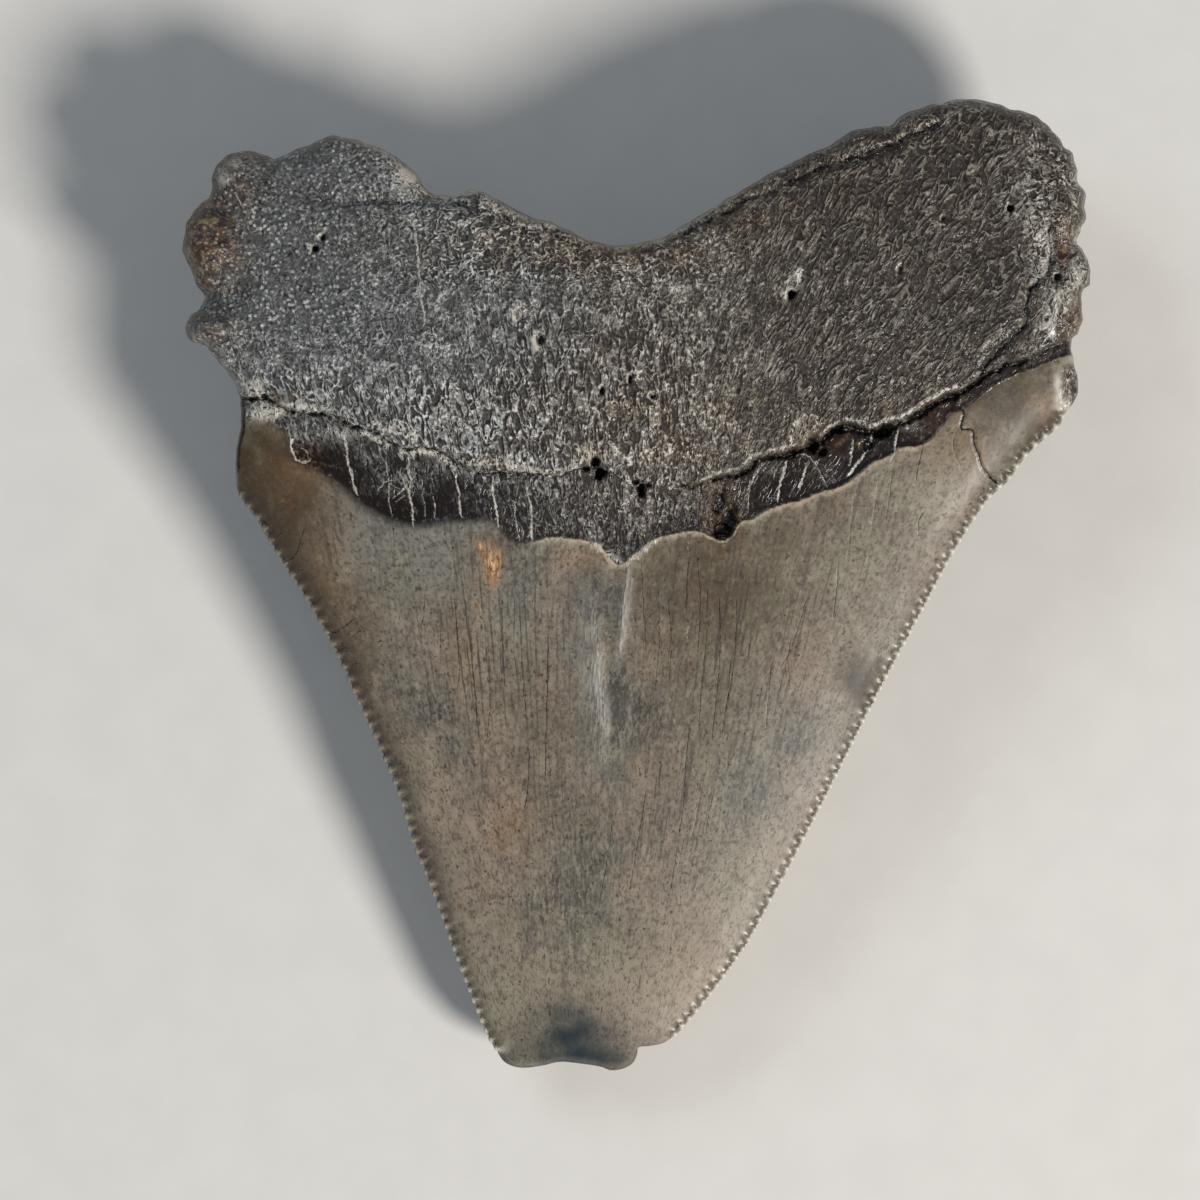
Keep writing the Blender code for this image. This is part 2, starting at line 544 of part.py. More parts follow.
def build_tooth():
    outline = make_outline()
    lines = {
        "lip": smooth_curve(ROOT_LIP, LEDGE_SPACING),
        "enamel": smooth_curve(ENAMEL_TOP, LEDGE_SPACING),
        "left layer": smooth_curve(LEFT_LAYER, LEDGE_SPACING),
        "right layer": smooth_curve(RIGHT_LAYER, LEDGE_SPACING),
        "split": smooth_curve(LOBE_SPLIT, LEDGE_SPACING),
    }
    count = len(outline.points)

    # Upper and lower sheets
    marks = labial_marks(outline, lines)
    upper = np.vstack([marks, grid_points(LABIAL_SPACING, outline, 1.25, marks)])
    holes = np.vstack([pit_ring(*hole[:3]) for hole in FORAMINA])
    lower = np.vstack([holes, grid_points(LINGUAL_SPACING, outline, 1.3, holes)])
    upper_faces = sheet(outline, upper)
    lower_faces = sheet(outline, lower)

    # The sheets' rims are drawn in from the outline round the root, and the middle row of
    # the rim is drawn in at the break, which is hollow
    sheet_inset = ROOT_RIM_INSET * outline.root + 0.04 * (1 - outline.root)
    middle_inset = BREAK_HOLLOW * outline.broken
    rim = outline.points + outline.inward * sheet_inset[:, None]
    middle = outline.points + outline.inward * middle_inset[:, None]

    top_xy = np.vstack([rim, upper])
    bottom_xy = np.vstack([rim, lower])
    top_z = labial_height(top_xy[:, 0], top_xy[:, 1], outline, lines)
    above = labial_height(bottom_xy[:, 0], bottom_xy[:, 1], outline, lines)
    bottom_z = lingual_height(bottom_xy[:, 0], bottom_xy[:, 1], outline, above)
    middle_z = 0.5 * (top_z[:count] + bottom_z[:count])

    # The serrations belong to the thin edge: where the rim is thick, they don't cut through it
    thick = ramp(top_z[:count] - bottom_z[:count], 0.5 * THICK_RIM, THICK_RIM)[:, None]
    bead = (outline.plain - outline.points) * thick
    middle += bead
    bottom_xy[:count] += bead

    # One mesh: upper sheet, middle row, lower sheet
    mesh = bmesh.new()
    rows = np.vstack([
        np.column_stack([top_xy, top_z]),
        np.column_stack([middle, middle_z]),
        np.column_stack([bottom_xy, bottom_z]),
    ])
    verts = [mesh.verts.new(Vector(row) * MM) for row in rows]
    first_middle = len(top_xy)
    first_bottom = first_middle + count
    for a, b, c in upper_faces:
        mesh.faces.new((verts[a], verts[b], verts[c]))
    for a, b, c in lower_faces:
        mesh.faces.new((verts[first_bottom + a], verts[first_bottom + c], verts[first_bottom + b]))
    for i in range(count):
        j = (i + 1) % count
        for high, low in ((0, first_middle), (first_middle, first_bottom)):
            mesh.faces.new((verts[high + i], verts[low + i], verts[low + j]))
            mesh.faces.new((verts[high + i], verts[low + j], verts[high + j]))
    mesh.normal_update()

    # Zones of finish
    centres = np.array([face.calc_center_median() for face in mesh.faces]) / MM
    up = np.array([face.normal.z > 0 for face in mesh.faces])
    zones = np.where(up, zone_of(centres[:, 0], centres[:, 1], True, lines),
                     zone_of(centres[:, 0], centres[:, 1], False, lines))
    for face, zone in zip(mesh.faces, zones):
        face.material_index = int(zone)
        face.smooth = True

    data = bpy.data.meshes.new("tooth")
    mesh.to_mesh(data)
    mesh.free()
    data.materials.append(finish("root", ROOT_COLOUR, 0.42))
    data.materials.append(finish("band", BAND_COLOUR, 0.45))
    data.materials.append(finish("enamel", ENAMEL_COLOUR, 0.36))
    data.set_sharp_from_angle(angle=math.radians(35))
    tooth = bpy.data.objects.new("tooth", data)
    bpy.context.scene.collection.objects.link(tooth)
    return tooth


def main():
    for item in list(bpy.data.objects):
        bpy.data.objects.remove(item, do_unlink=True)
    build_tooth()


main()
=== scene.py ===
import json
import math

import bpy
import numpy as np
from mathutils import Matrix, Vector, kdtree
from mathutils.geometry import delaunay_2d_cdt

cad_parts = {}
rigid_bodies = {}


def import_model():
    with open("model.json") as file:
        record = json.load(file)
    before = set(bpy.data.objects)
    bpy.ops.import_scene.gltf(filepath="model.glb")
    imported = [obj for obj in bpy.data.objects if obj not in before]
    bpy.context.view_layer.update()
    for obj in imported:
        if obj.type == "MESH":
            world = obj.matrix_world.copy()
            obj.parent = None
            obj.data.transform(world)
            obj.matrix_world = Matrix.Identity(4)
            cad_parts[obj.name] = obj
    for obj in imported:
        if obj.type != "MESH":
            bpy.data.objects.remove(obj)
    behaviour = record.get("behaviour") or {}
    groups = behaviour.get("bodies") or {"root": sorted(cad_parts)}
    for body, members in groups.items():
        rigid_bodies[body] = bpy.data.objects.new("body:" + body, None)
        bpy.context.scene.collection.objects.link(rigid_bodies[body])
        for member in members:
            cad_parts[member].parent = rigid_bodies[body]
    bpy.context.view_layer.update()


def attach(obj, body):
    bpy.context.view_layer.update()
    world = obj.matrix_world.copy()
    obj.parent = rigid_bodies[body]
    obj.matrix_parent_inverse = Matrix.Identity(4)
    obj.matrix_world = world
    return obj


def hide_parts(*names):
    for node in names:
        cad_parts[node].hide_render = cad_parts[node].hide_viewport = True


for thing in list(bpy.data.objects):
    bpy.data.objects.remove(thing, do_unlink=True)

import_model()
print("frame loaded")

mm = 0.001

# the tooth's outline, millimetres, seen from above; the stretches run anticlockwise
tipBreak = [
    (-11.1, -37.7), (-10.6, -38.4), (-9.8, -38.8), (-8.8, -38.9), (-7.4, -38.7), (-6.0, -38.4),
    (-4.0, -38.6), (-2.8, -38.8), (-1.9, -39.1), (-0.8, -38.9), (-0.1, -38.4), (0.2, -37.7),
    (0.3, -37.2), (1.2, -37.1), (2.2, -36.9), (2.9, -36.5),
]
rightEdge = [
    (2.9, -36.5), (3.6, -35.9), (6.0, -33.1), (8.9, -29.1), (11.1, -25.1), (15.3, -17.1),
    (19.3, -9.1), (23.5, -1.1), (25.6, 2.9), (28.2, 6.9), (29.1, 7.8), (30.0, 8.7),
    (30.9, 10.0), (31.9, 11.1), (32.9, 12.0), (33.8, 12.8), (34.4, 13.9),
]
rightShoulder = [
    (34.4, 13.9), (35.1, 14.8), (35.4, 15.7), (35.3, 16.8), (35.0, 18.0), (34.8, 19.2),
]
rightRootEnd = [
    (34.8, 19.2), (34.9, 19.9), (35.4, 20.4), (35.7, 21.7), (35.7, 22.9), (35.8, 23.8),
    (36.2, 24.1), (36.4, 24.9), (36.2, 26.0), (35.7, 26.8), (35.3, 27.5), (35.5, 28.4),
    (35.9, 29.2), (36.0, 30.1), (35.8, 31.6), (35.3, 32.7), (35.2, 33.7), (34.8, 34.7),
    (34.1, 35.3), (33.5, 36.4), (32.5, 37.3),
]
rightLobeTop = [
    (32.5, 37.3), (31.4, 37.9), (30.0, 38.2), (29.2, 38.5), (28.0, 38.8), (26.4, 39.0),
    (25.0, 38.8), (23.2, 38.4), (21.4, 37.7), (20.4, 36.8), (18.9, 36.7), (17.3, 36.4),
    (15.8, 35.4), (13.6, 34.4), (11.2, 33.2), (8.4, 31.6), (5.6, 29.9), (3.2, 28.4),
]
saddle = [
    (3.2, 28.4), (1.6, 27.7), (-1.2, 27.2), (-3.6, 27.6), (-5.6, 28.5), (-7.0, 29.2), (-8.0, 29.3),
]
leftLobeTop = [
    (-8.0, 29.3), (-9.4, 30.0), (-11.0, 30.9), (-12.0, 31.4), (-13.1, 31.7), (-14.4, 31.3),
    (-15.6, 31.2), (-16.6, 31.6), (-17.2, 32.4), (-18.2, 33.6), (-19.6, 34.6), (-21.4, 35.4),
    (-23.2, 35.9), (-24.4, 36.0), (-26.2, 35.3), (-27.6, 34.7), (-28.9, 34.2),
]
leftRootEnd = [
    (-28.9, 34.2), (-30.0, 34.6), (-31.1, 34.8), (-32.3, 34.6), (-33.4, 33.7), (-33.9, 32.5),
    (-33.9, 31.2), (-34.8, 30.6), (-35.6, 29.5), (-36.1, 28.0), (-36.1, 26.8), (-35.5, 25.2),
    (-35.0, 24.0), (-34.4, 23.2), (-34.8, 22.3), (-35.6, 21.6), (-36.0, 20.8), (-35.8, 20.0),
    (-34.9, 19.4), (-34.0, 18.8), (-33.1, 17.6), (-32.1, 16.4), (-31.6, 15.1),
]
leftShoulder = [(-31.6, 15.1), (-31.6, 12.9), (-32.0, 10.5), (-32.0, 8.9), (-31.9, 7.7)]
leftEdge = [
    (-31.9, 7.7), (-31.4, 6.7), (-30.2, 5.2), (-29.1, 3.2), (-27.8, 1.1), (-26.4, -1.1),
    (-24.2, -5.1), (-22.4, -9.1), (-20.6, -13.1), (-19.1, -16.7), (-18.8, -17.6), (-18.0, -20.5),
    (-16.2, -25.1), (-14.8, -29.1), (-13.3, -33.1), (-12.0, -36.3), (-11.1, -37.7),
]

# profiles along the tooth: (y, height) on the middle line, and the fall to the sides
labialProfile = [(-40, 6.7), (-27, 9.3), (-12, 12.3), (0, 14.6), (8, 16.0), (15, 16.9),
                 (22, 17.2), (30, 16.9), (40, 15.7)]
labialFall = [(-40, 0.9), (-27, 1.4), (-12, 1.9), (0, 2.2), (15, 2.2), (30, 2.4), (40, 2.6)]
lingualProfile = [(-40, 1.7), (-32, 0.45), (-25, -0.15), (-12, 0.25), (0, 1.1), (8, 2.6),
                  (16, 5.5), (40, 12.0)]
leftLimit = [(-40, -10.6), (-30, -14.5), (-15, -19.8), (0, -27.1), (7, -31.4), (14, -32.5),
             (24, -34.5), (40, -35.0)]
rightLimit = [(-40, 0.6), (-30, 8.2), (-15, 16.3), (0, 24.1), (8, 29.3), (14, 34.0),
              (24, 35.9), (40, 35.5)]

# knobs and swellings: centre x, y, spread x, spread y, height
rootLumps = [
    (-32.0, 32.4, 2.0, 2.0, 0.9), (-34.0, 27.4, 2.2, 3.0, 1.1), (-34.0, 20.6, 2.2, 1.4, 1.0),
    (-33.2, 30.2, 1.6, 1.0, -0.8), (-33.0, 23.2, 2.0, 1.2, -0.9), (-24.0, 30.0, 5.0, 4.0, 0.4),
    (-14.0, 20.0, 7.0, 5.0, 0.35), (2.0, 22.0, 5.0, 4.0, -0.45), (17.0, 26.0, 7.0, 6.0, 0.4),
    (26.0, 32.0, 5.0, 4.0, 0.4), (33.5, 26.6, 1.8, 1.5, -0.7), (34.4, 24.4, 1.6, 1.6, 0.5),
    (34.0, 30.5, 2.2, 2.0, 0.4), (31.0, 23.0, 2.5, 3.0, 0.35),
]
lingualLumps = [
    (-26.0, 27.0, 5.0, 5.0, 0.7), (-19.0, 19.0, 5.0, 3.5, -0.6), (-30.0, 18.0, 4.0, 4.0, 0.5),
    (25.0, 31.0, 6.0, 5.0, 0.8), (20.0, 22.0, 6.0, 4.0, -0.6), (31.0, 22.0, 4.0, 4.5, 0.5),
    (10.0, 25.0, 4.0, 3.0, 0.4), (-10.0, 25.0, 3.5, 3.0, 0.4),
]
crownDips = [(-1.0, 4.0, 10.0, 8.0, -0.8), (0.1, -9.8, 1.1, 3.4, -0.16)]
# the worn end of the crown, the right shoulder and the left lobe's upper corner
wornPlaces = [(-5.5, -40.0, 5.5, 3.2, -0.9), (35.8, 15.8, 1.3, 1.7, -0.9), (-17.2, 33.8, 1.6, 1.4, -1.0)]
# nutrient holes of the lingual side: centre x, y, radius, depth
foramina = [(-1.5, 20.5, 0.9, 1.6), (3.6, 21.6, 0.6, 0.8), (-6.2, 18.6, 0.6, 0.8)]

gapTable = [   # x, half width of the gap under the root's lip
    (-31.6, 0.10), (-27.0, 0.10), (-22.0, 0.10), (-17.5, 0.08), (-12.0, 0.07), (-6.0, 0.06),
    (0.0, 0.06), (4.0, 0.08), (8.0, 0.12), (12.0, 0.16), (16.0, 0.22), (20.0, 0.26),
    (24.0, 0.24), (27.0, 0.16), (31.0, 0.12), (35.0, 0.10),
]

# marks of the labial face, on a drawing of 12.5 units to the millimetre, v down
drawingStep = 0.08
drawingCorner = (-50.84, 46.92)

ledgeLine = [   # where the root's lower lip ends over the crown
    (240, 398), (252, 398), (265, 397), (277, 402), (289, 410), (304, 412), (326, 414), (341, 418),
    (357, 426), (373, 430), (386, 439), (400, 447), (416, 448), (426, 447), (437, 449), (450, 456),
    (458, 463), (468, 467), (476, 472), (503, 472), (529, 473), (543, 475), (561, 476), (567, 472),
    (580, 469), (593, 467), (604, 470), (618, 478), (632, 486), (645, 490), (660, 492), (680, 489),
    (692, 485), (706, 480), (719, 477), (734, 474), (744, 470), (753, 462), (763, 457), (778, 454),
    (794, 449), (806, 447), (819, 440), (831, 429), (847, 424), (856, 427), (872, 431), (881, 426),
    (900, 421), (913, 413), (928, 404), (944, 396), (956, 392), (966, 387), (981, 376), (997, 368),
    (1003, 365), (1019, 360), (1031, 356), (1044, 348), (1056, 343), (1071, 340),
]
enamelTop = [   # the enamel's upper limit, below the dark band
    (240, 412), (265, 414), (290, 430), (293, 445), (297, 457), (304, 463), (318, 468), (331, 476),
    (347, 486), (357, 497), (373, 508), (394, 518), (415, 523), (437, 521), (452, 519), (463, 519),
    (478, 520), (488, 522), (498, 529), (505, 538), (519, 543), (534, 542), (550, 538), (566, 539),
    (590, 542), (603, 550), (611, 560), (620, 565), (630, 558), (640, 550), (654, 540), (672, 535),
    (690, 532), (703, 534), (712, 538), (722, 541), (730, 537), (736, 529), (741, 523), (753, 519),
    (769, 510), (784, 505), (803, 500), (819, 493), (838, 488), (850, 481), (859, 475), (872, 464),
    (891, 455), (901, 448), (916, 447), (928, 442), (940, 428), (948, 415), (960, 411), (975, 400),
    (990, 388), (1010, 378), (1035, 368), (1055, 360), (1071, 355),
]
leftLayer = [   # the edge of the root's outer layer, left and right
    (309, 198), (332, 203), (350, 206), (368, 203), (385, 203), (403, 206), (415, 203), (432, 199),
    (450, 203), (470, 210), (491, 216), (508, 222), (523, 233), (546, 234), (561, 242), (590, 254),
]
rightLayer = [
    (683, 238), (705, 224), (728, 214), (743, 205), (766, 195), (785, 187), (798, 181), (823, 170),
    (842, 163), (861, 157), (877, 152), (893, 147), (906, 139), (922, 133), (938, 125),
]
lobeSplit = [   # the crack behind the root's right end
    (1048, 228), (1050, 250), (1046, 270), (1030, 290), (1024, 305), (1021, 328), (1008, 341),
    (996, 352), (985, 366), (978, 376),
]
folds = {   # sharp lines that stand up on the crown, and how far their painted highlight streak reaches each way
    "right": {"line": [(630, 551), (629, 566), (629, 580), (626, 605), (622, 640), (619, 664)],
              "height": 0.15, "steep": 0.28, "gentle": 0.5, "pale": 1.35, "highlightReach": (0.13, 0.26)},
    "left": {"line": [(592, 598), (598, 640), (601, 680), (605, 715), (603, 760)],
             "height": 0.22, "steep": 0.28, "gentle": 1.1, "pale": 0.95, "highlightReach": (0.12, 1.20)},
}

# cracks: width and depth in millimetres, how pale the filling is (0 open and dark), the line
cracks = [
    # across the dark band, filled
    (0.13, 0.05, 1.0, [(290, 430), (292, 440), (293, 450), (297, 459), (304, 463), (312, 461)]),
    (0.07, 0.05, 0.9, [(303, 449), (308, 452), (309, 457)]),
    (0.14, 0.05, 1.0, [(346, 438), (348, 450), (349, 462), (353, 475), (355, 487), (359, 496)]),
    (0.08, 0.05, 0.7, [(387, 458), (388, 470), (390, 484), (390, 500), (393, 518)]),
    (0.06, 0.03, 0.0, [(393, 518), (394, 530), (395, 545)]),
    (0.10, 0.05, 0.8, [(379, 491), (386, 483), (394, 481)]),
    (0.07, 0.05, 0.7, [(381, 478), (390, 484), (399, 489)]),
    (0.08, 0.05, 0.8, [(394, 499), (401, 493), (409, 487)]),
    (0.09, 0.05, 0.8, [(399, 472), (404, 480), (408, 489), (414, 493)]),
    (0.08, 0.05, 0.8, [(403, 490), (411, 482), (418, 474)]),
    (0.07, 0.05, 0.7, [(397, 502), (406, 496)]),
    (0.13, 0.05, 1.0, [(408, 451), (410, 460), (409, 470), (412, 481)]),
    (0.12, 0.05, 1.0, [(412, 481), (410, 492), (413, 508), (414, 527)]),
    (0.07, 0.05, 0.6, [(426, 488), (424, 497), (426, 507), (426, 518)]),
    (0.09, 0.05, 0.7, [(434, 497), (436, 508), (435, 518)]),
    (0.14, 0.05, 1.0, [(452, 464), (457, 472), (457, 482)]),
    (0.12, 0.05, 1.0, [(457, 482), (460, 495), (460, 505), (462, 518)]),
    (0.12, 0.05, 1.0, [(494, 478), (494, 495), (497, 510), (499, 527)]),
    (0.10, 0.05, 0.8, [(516, 503), (515, 514), (517, 526), (520, 540)]),
    (0.12, 0.05, 0.9, [(527, 482), (528, 495), (531, 505), (532, 518), (532, 541)]),
    (0.06, 0.04, 0.5, [(510, 522), (512, 535)]),
    (0.06, 0.04, 0.5, [(544, 528), (545, 538)]),
    (0.07, 0.04, 0.5, [(562, 512), (564, 530)]),
    (0.09, 0.04, 0.6, [(592, 524), (600, 520), (609, 523)]),
    (0.09, 0.05, 0.7, [(766, 462), (758, 471), (751, 484), (748, 496), (748, 512)]),
    (0.11, 0.05, 1.0, [(786, 462), (783, 474), (779, 486), (777, 503)]),
    (0.10, 0.05, 1.0, [(806, 464), (803, 475), (801, 482), (799, 490)]),
    (0.08, 0.04, 0.7, [(790, 458), (803, 455), (813, 463), (819, 473), (826, 486)]),
    (0.08, 0.05, 0.8, [(852, 441), (851, 452), (849, 466)]),
    (0.11, 0.05, 0.9, [(871, 432), (869, 444), (862, 458), (854, 467), (848, 477)]),
    (0.11, 0.05, 0.9, [(898, 426), (895, 438), (893, 452), (889, 464)]),
    # hairlines of the root, pale
    (0.13, -0.05, 1.0, [(415, 222), (419, 254), (422, 295), (426, 322), (423, 331)]),
    (0.11, -0.05, 0.9, [(412, 374), (411, 395), (411, 420), (410, 440)]),
    (0.10, -0.05, 0.8, [(467, 301), (470, 330), (473, 354)]),
    (0.10, -0.05, 0.8, [(484, 378), (487, 395), (489, 409)]),
    (0.11, -0.05, 0.8, [(297, 374), (301, 388), (305, 404)]),
    (0.12, -0.06, 0.6, [(237, 195), (243, 206), (250, 220)]),
    (0.40, -0.35, 0.25, [(228, 322), (234, 338), (242, 354), (250, 368), (257, 380)]),
    (0.50, -0.45, 0.55, [(254, 376), (259, 384), (263, 391)]),
    (0.35, -0.25, 0.35, [(226, 282), (224, 300), (229, 318)]),
    (0.30, -0.20, 0.30, [(192, 268), (201, 280), (209, 288)]),
    (0.14, 0.05, 0.6, [(301, 372), (304, 385), (306, 400)]),
    (0.13, 0.12, 0.0, [(1015, 248), (1017, 257), (1021, 267)]),
    # bright flakes at the right end, raised
    (0.30, -0.14, 0.9, [(1044, 228), (1048, 240), (1049, 256), (1044, 270), (1037, 281)]),
    (0.28, -0.12, 0.9, [(1055, 292), (1053, 308), (1049, 322), (1045, 336)]),
    (0.26, -0.12, 0.9, [(1068, 262), (1075, 270), (1076, 282), (1070, 291)]),
    (0.16, -0.08, 0.5, [(1036, 281), (1028, 300), (1022, 318), (1012, 334)]),
    (0.18, -0.06, 0.4, [(1000, 205), (982, 222), (964, 238), (950, 262)]),
    # dark cracks of the enamel
    (0.13, 0.08, 0.0, [(958, 407), (962, 415), (959, 429), (970, 431), (972, 443), (977, 456),
                       (981, 468), (989, 478), (998, 485)]),
    (0.10, 0.06, 0.0, [(924, 510), (918, 520), (918, 535)]),
    (0.06, 0.04, 0.1, [(952, 500), (958, 508), (968, 516)]),
    (0.10, 0.03, 0.5, [(689, 535), (688, 545), (689, 556)]),
    (0.10, 0.03, 0.0, [(689, 556), (687, 580), (686, 612)]),
    (0.08, 0.03, 0.7, [(688, 628), (687, 634), (688, 640)]),
    (0.09, 0.07, 0.0, [(548, 640), (547, 700), (545, 780)]),
    (0.11, 0.07, 0.0, [(529, 752), (528, 785), (524, 812)]),
    (0.10, 0.07, 0.1, [(690, 720), (686, 760), (684, 800), (677, 850), (671, 890)]),
    (0.08, 0.06, 0.0, [(646, 790), (640, 830), (630, 890)]),
    (0.07, 0.05, 0.0, [(613, 820), (607, 860), (600, 902)]),
    (0.08, 0.05, 0.0, [(440, 626), (441, 640), (440, 656)]),
    (0.08, 0.06, 0.0, [(455, 600), (458, 640), (459, 680), (453, 697)]),
    (0.08, 0.06, 0.0, [(468, 618), (472, 655), (475, 690), (477, 722)]),
    (0.07, 0.05, 0.0, [(425, 600), (424, 615), (421, 628)]),
    (0.07, 0.05, 0.0, [(502, 595), (503, 640), (505, 690)]),
    (0.07, 0.05, 0.0, [(520, 610), (523, 680), (528, 730)]),
    (0.08, 0.06, 0.2, [(853, 497), (851, 515), (849, 540), (846, 565)]),
    (0.10, 0.06, 0.4, [(877, 480), (874, 505), (871, 530), (867, 562)]),
    (0.08, 0.06, 0.0, [(838, 560), (836, 590), (833, 618)]),
    (0.08, 0.06, 0.0, [(806, 600), (800, 620), (790, 650), (780, 668)]),
    (0.08, 0.06, 0.0, [(770, 668), (769, 690), (766, 728)]),
    (0.07, 0.05, 0.0, [(790, 640), (788, 660), (789, 686)]),
    (0.07, 0.05, 0.0, [(730, 660), (728, 690), (722, 735)]),
    (0.07, 0.05, 0.0, [(720, 760), (714, 790), (706, 830)]),
    (0.06, 0.04, 0.0, [(700, 800), (694, 830), (689, 862)]),
    (0.07, 0.05, 0.0, [(891, 470), (889, 492), (885, 520)]),
    (0.10, 0.05, 0.0, [(921, 432), (921, 448), (918, 462), (914, 485)]),
    (0.09, 0.05, 0.0, [(952, 438), (953, 452), (959, 466)]),
    (0.09, 0.05, 0.0, [(262, 520), (268, 525), (274, 531)]),
    (0.09, 0.05, 0.0, [(269, 544), (276, 539), (283, 532)]),
    (0.11, 0.05, 0.0, [(282, 563), (290, 560), (298, 552), (301, 541), (304, 531)]),
    (0.09, 0.05, 0.0, [(290, 576), (296, 572), (304, 569)]),
    (0.08, 0.05, 0.0, [(309, 604), (316, 602), (322, 597)]),
    (0.10, 0.05, 0.0, [(328, 631), (336, 632), (343, 627)]),
    (0.13, 0.05, 0.0, [(343, 628), (349, 623), (356, 618)]),
    (0.12, 0.05, 0.0, [(354, 636), (360, 631), (366, 632)]),
    (0.08, 0.05, 0.0, [(338, 652), (344, 648), (350, 649)]),
    (0.08, 0.05, 0.0, [(348, 668), (354, 664), (360, 664)]),
    (0.07, 0.05, 0.0, [(641, 560), (643, 600), (646, 650)]),
    (0.07, 0.05, 0.0, [(658, 590), (659, 640), (655, 690)]),
    (0.08, 0.05, 0.0, [(668, 600), (671, 640), (669, 680)]),
    (0.08, 0.05, 0.0, [(707, 590), (706, 640), (701, 690), (699, 730)]),
    (0.09, 0.05, 0.0, [(719, 600), (720, 650), (716, 700), (712, 740)]),
    (0.08, 0.05, 0.0, [(736, 600), (735, 650), (728, 700)]),
    (0.07, 0.05, 0.0, [(697, 560), (700, 600), (698, 650)]),
    (0.07, 0.05, 0.0, [(515, 600), (514, 640), (517, 680)]),
    (0.08, 0.05, 0.0, [(488, 640), (490, 700), (487, 740)]),
]
# holes and hollows: centre u, v, half width, half height, depth in millimetres, how dark their painted shade
# is
holes = [
    (595, 463, 5.0, 5.5, 1.2, 1.0), (600, 474, 6.5, 6.5, 1.3, 1.0), (586, 469, 5.0, 2.5, 0.5, 0.8),
    (641, 490, 4.5, 8.0, 1.0, 1.0), (636, 483, 4.0, 3.5, 0.7, 0.9), (648, 486, 3.5, 3.0, 0.5, 0.7),
    (683, 487, 8.0, 2.5, 0.5, 0.8), (718, 503, 8.0, 13.0, 0.8, 0.60), (727, 516, 8.0, 14.0, 0.8, 0.55),
    (722, 529, 12.0, 9.5, 1.0, 0.75), (811, 446, 6.0, 8.0, 1.1, 1.0), (821, 453, 5.0, 4.0, 0.8, 0.9),
    (838, 432, 10.0, 2.6, 0.5, 0.6), (880, 434, 9.0, 5.5, 0.8, 0.9), (866, 446, 6.0, 6.0, 0.5, 0.7),
    (266, 397, 4.5, 3.0, 0.6, 0.9), (325, 240, 4.0, 4.0, 0.6, 0.6), (317, 251, 4.0, 4.0, 0.7, 0.9),
    (541, 342, 5.0, 6.0, 0.7, 0.45), (524, 317, 8.0, 7.0, 0.35, 0.0), (790, 297, 4.5, 5.0, 0.9, 0.95),
    (1008, 210, 4.0, 4.0, 0.8, 0.95), (630, 381, 2.6, 5.0, 0.6, 0.75), (653, 398, 4.5, 3.5, 0.5, 0.5),
    (602, 393, 3.2, 5.5, 0.5, 0.65), (602, 472, 3.0, 3.0, 0.6, 0.9), (941, 221, 2.5, 2.5, 0.4, 0.6),
    (898, 272, 3.0, 4.0, 0.4, 0.4), (1055, 279, 4.0, 4.0, 0.5, 0.9),
    (500, 383, 5.0, 4.0, 0.3, 0.3), (535, 448, 8.0, 6.0, 0.3, 0.2),
]
# broken edges that stand out pale, and painted highlights on two pits' lit walls: width in millimetres, how
# strong, the line
paleRims = [
    (0.30, 0.8, [(290, 406), (310, 408), (330, 410)]),
    (0.42, 0.8, [(373, 424), (390, 430), (405, 433), (415, 437)]),
    (0.40, 0.9, [(366, 433), (378, 438), (388, 446)]),
    (0.42, 0.8, [(404, 452), (418, 451), (432, 453), (446, 460)]),
    (0.45, 0.9, [(472, 464), (487, 461), (503, 463), (516, 468)]),
    (0.30, 0.7, [(516, 469), (537, 471), (560, 472), (574, 465), (590, 456)]),
    (0.15, 1.0, [(700, 481), (718, 473), (733, 470), (743, 464), (755, 455), (775, 450), (795, 445)]),
    (0.16, 1.0, [(790, 442), (790, 430), (796, 421), (806, 416), (814, 418), (817, 428)]),
    (0.18, 0.8, [(820, 436), (832, 425), (848, 420), (863, 424)]),
    (0.20, 0.9, [(868, 428), (885, 421), (900, 417), (913, 409), (928, 400), (941, 392)]),
    (0.18, 1.0, [(941, 392), (951, 388), (959, 388)]),
    (0.20, 0.5, [(960, 386), (980, 372), (1000, 359)]),
    (0.24, 0.5, [(247, 380), (255, 386), (262, 394)]),
    (0.20, 0.9, [(470, 190), (481, 198), (491, 207), (498, 214)]),
    (0.30, 0.8, [(467, 191), (491, 196), (511, 207), (532, 219), (558, 228), (590, 245)]),
    # these two rows are painted highlights on the lit upper left walls of two pits
    (0.20, 1.0, [(784, 300), (784, 288), (790, 279), (800, 272)]),
    (0.24, 0.8, [(536, 333), (534, 342), (537, 351)]),
    (0.16, 1.0, [(1040, 226), (1045, 234), (1047, 246), (1046, 258), (1041, 268)]),
    (0.24, 1.0, [(1069, 266), (1075, 272), (1077, 281), (1072, 288)]),
    (0.18, 1.0, [(1056, 296), (1053, 306), (1052, 318), (1050, 330)]),
    (0.15, 0.9, [(1062, 288), (1069, 291), (1075, 289)]),
    (0.22, 0.8, [(620, 562), (611, 556), (604, 548), (594, 543)]),
    (0.22, 0.8, [(624, 563), (634, 556), (646, 546), (655, 540)]),
]
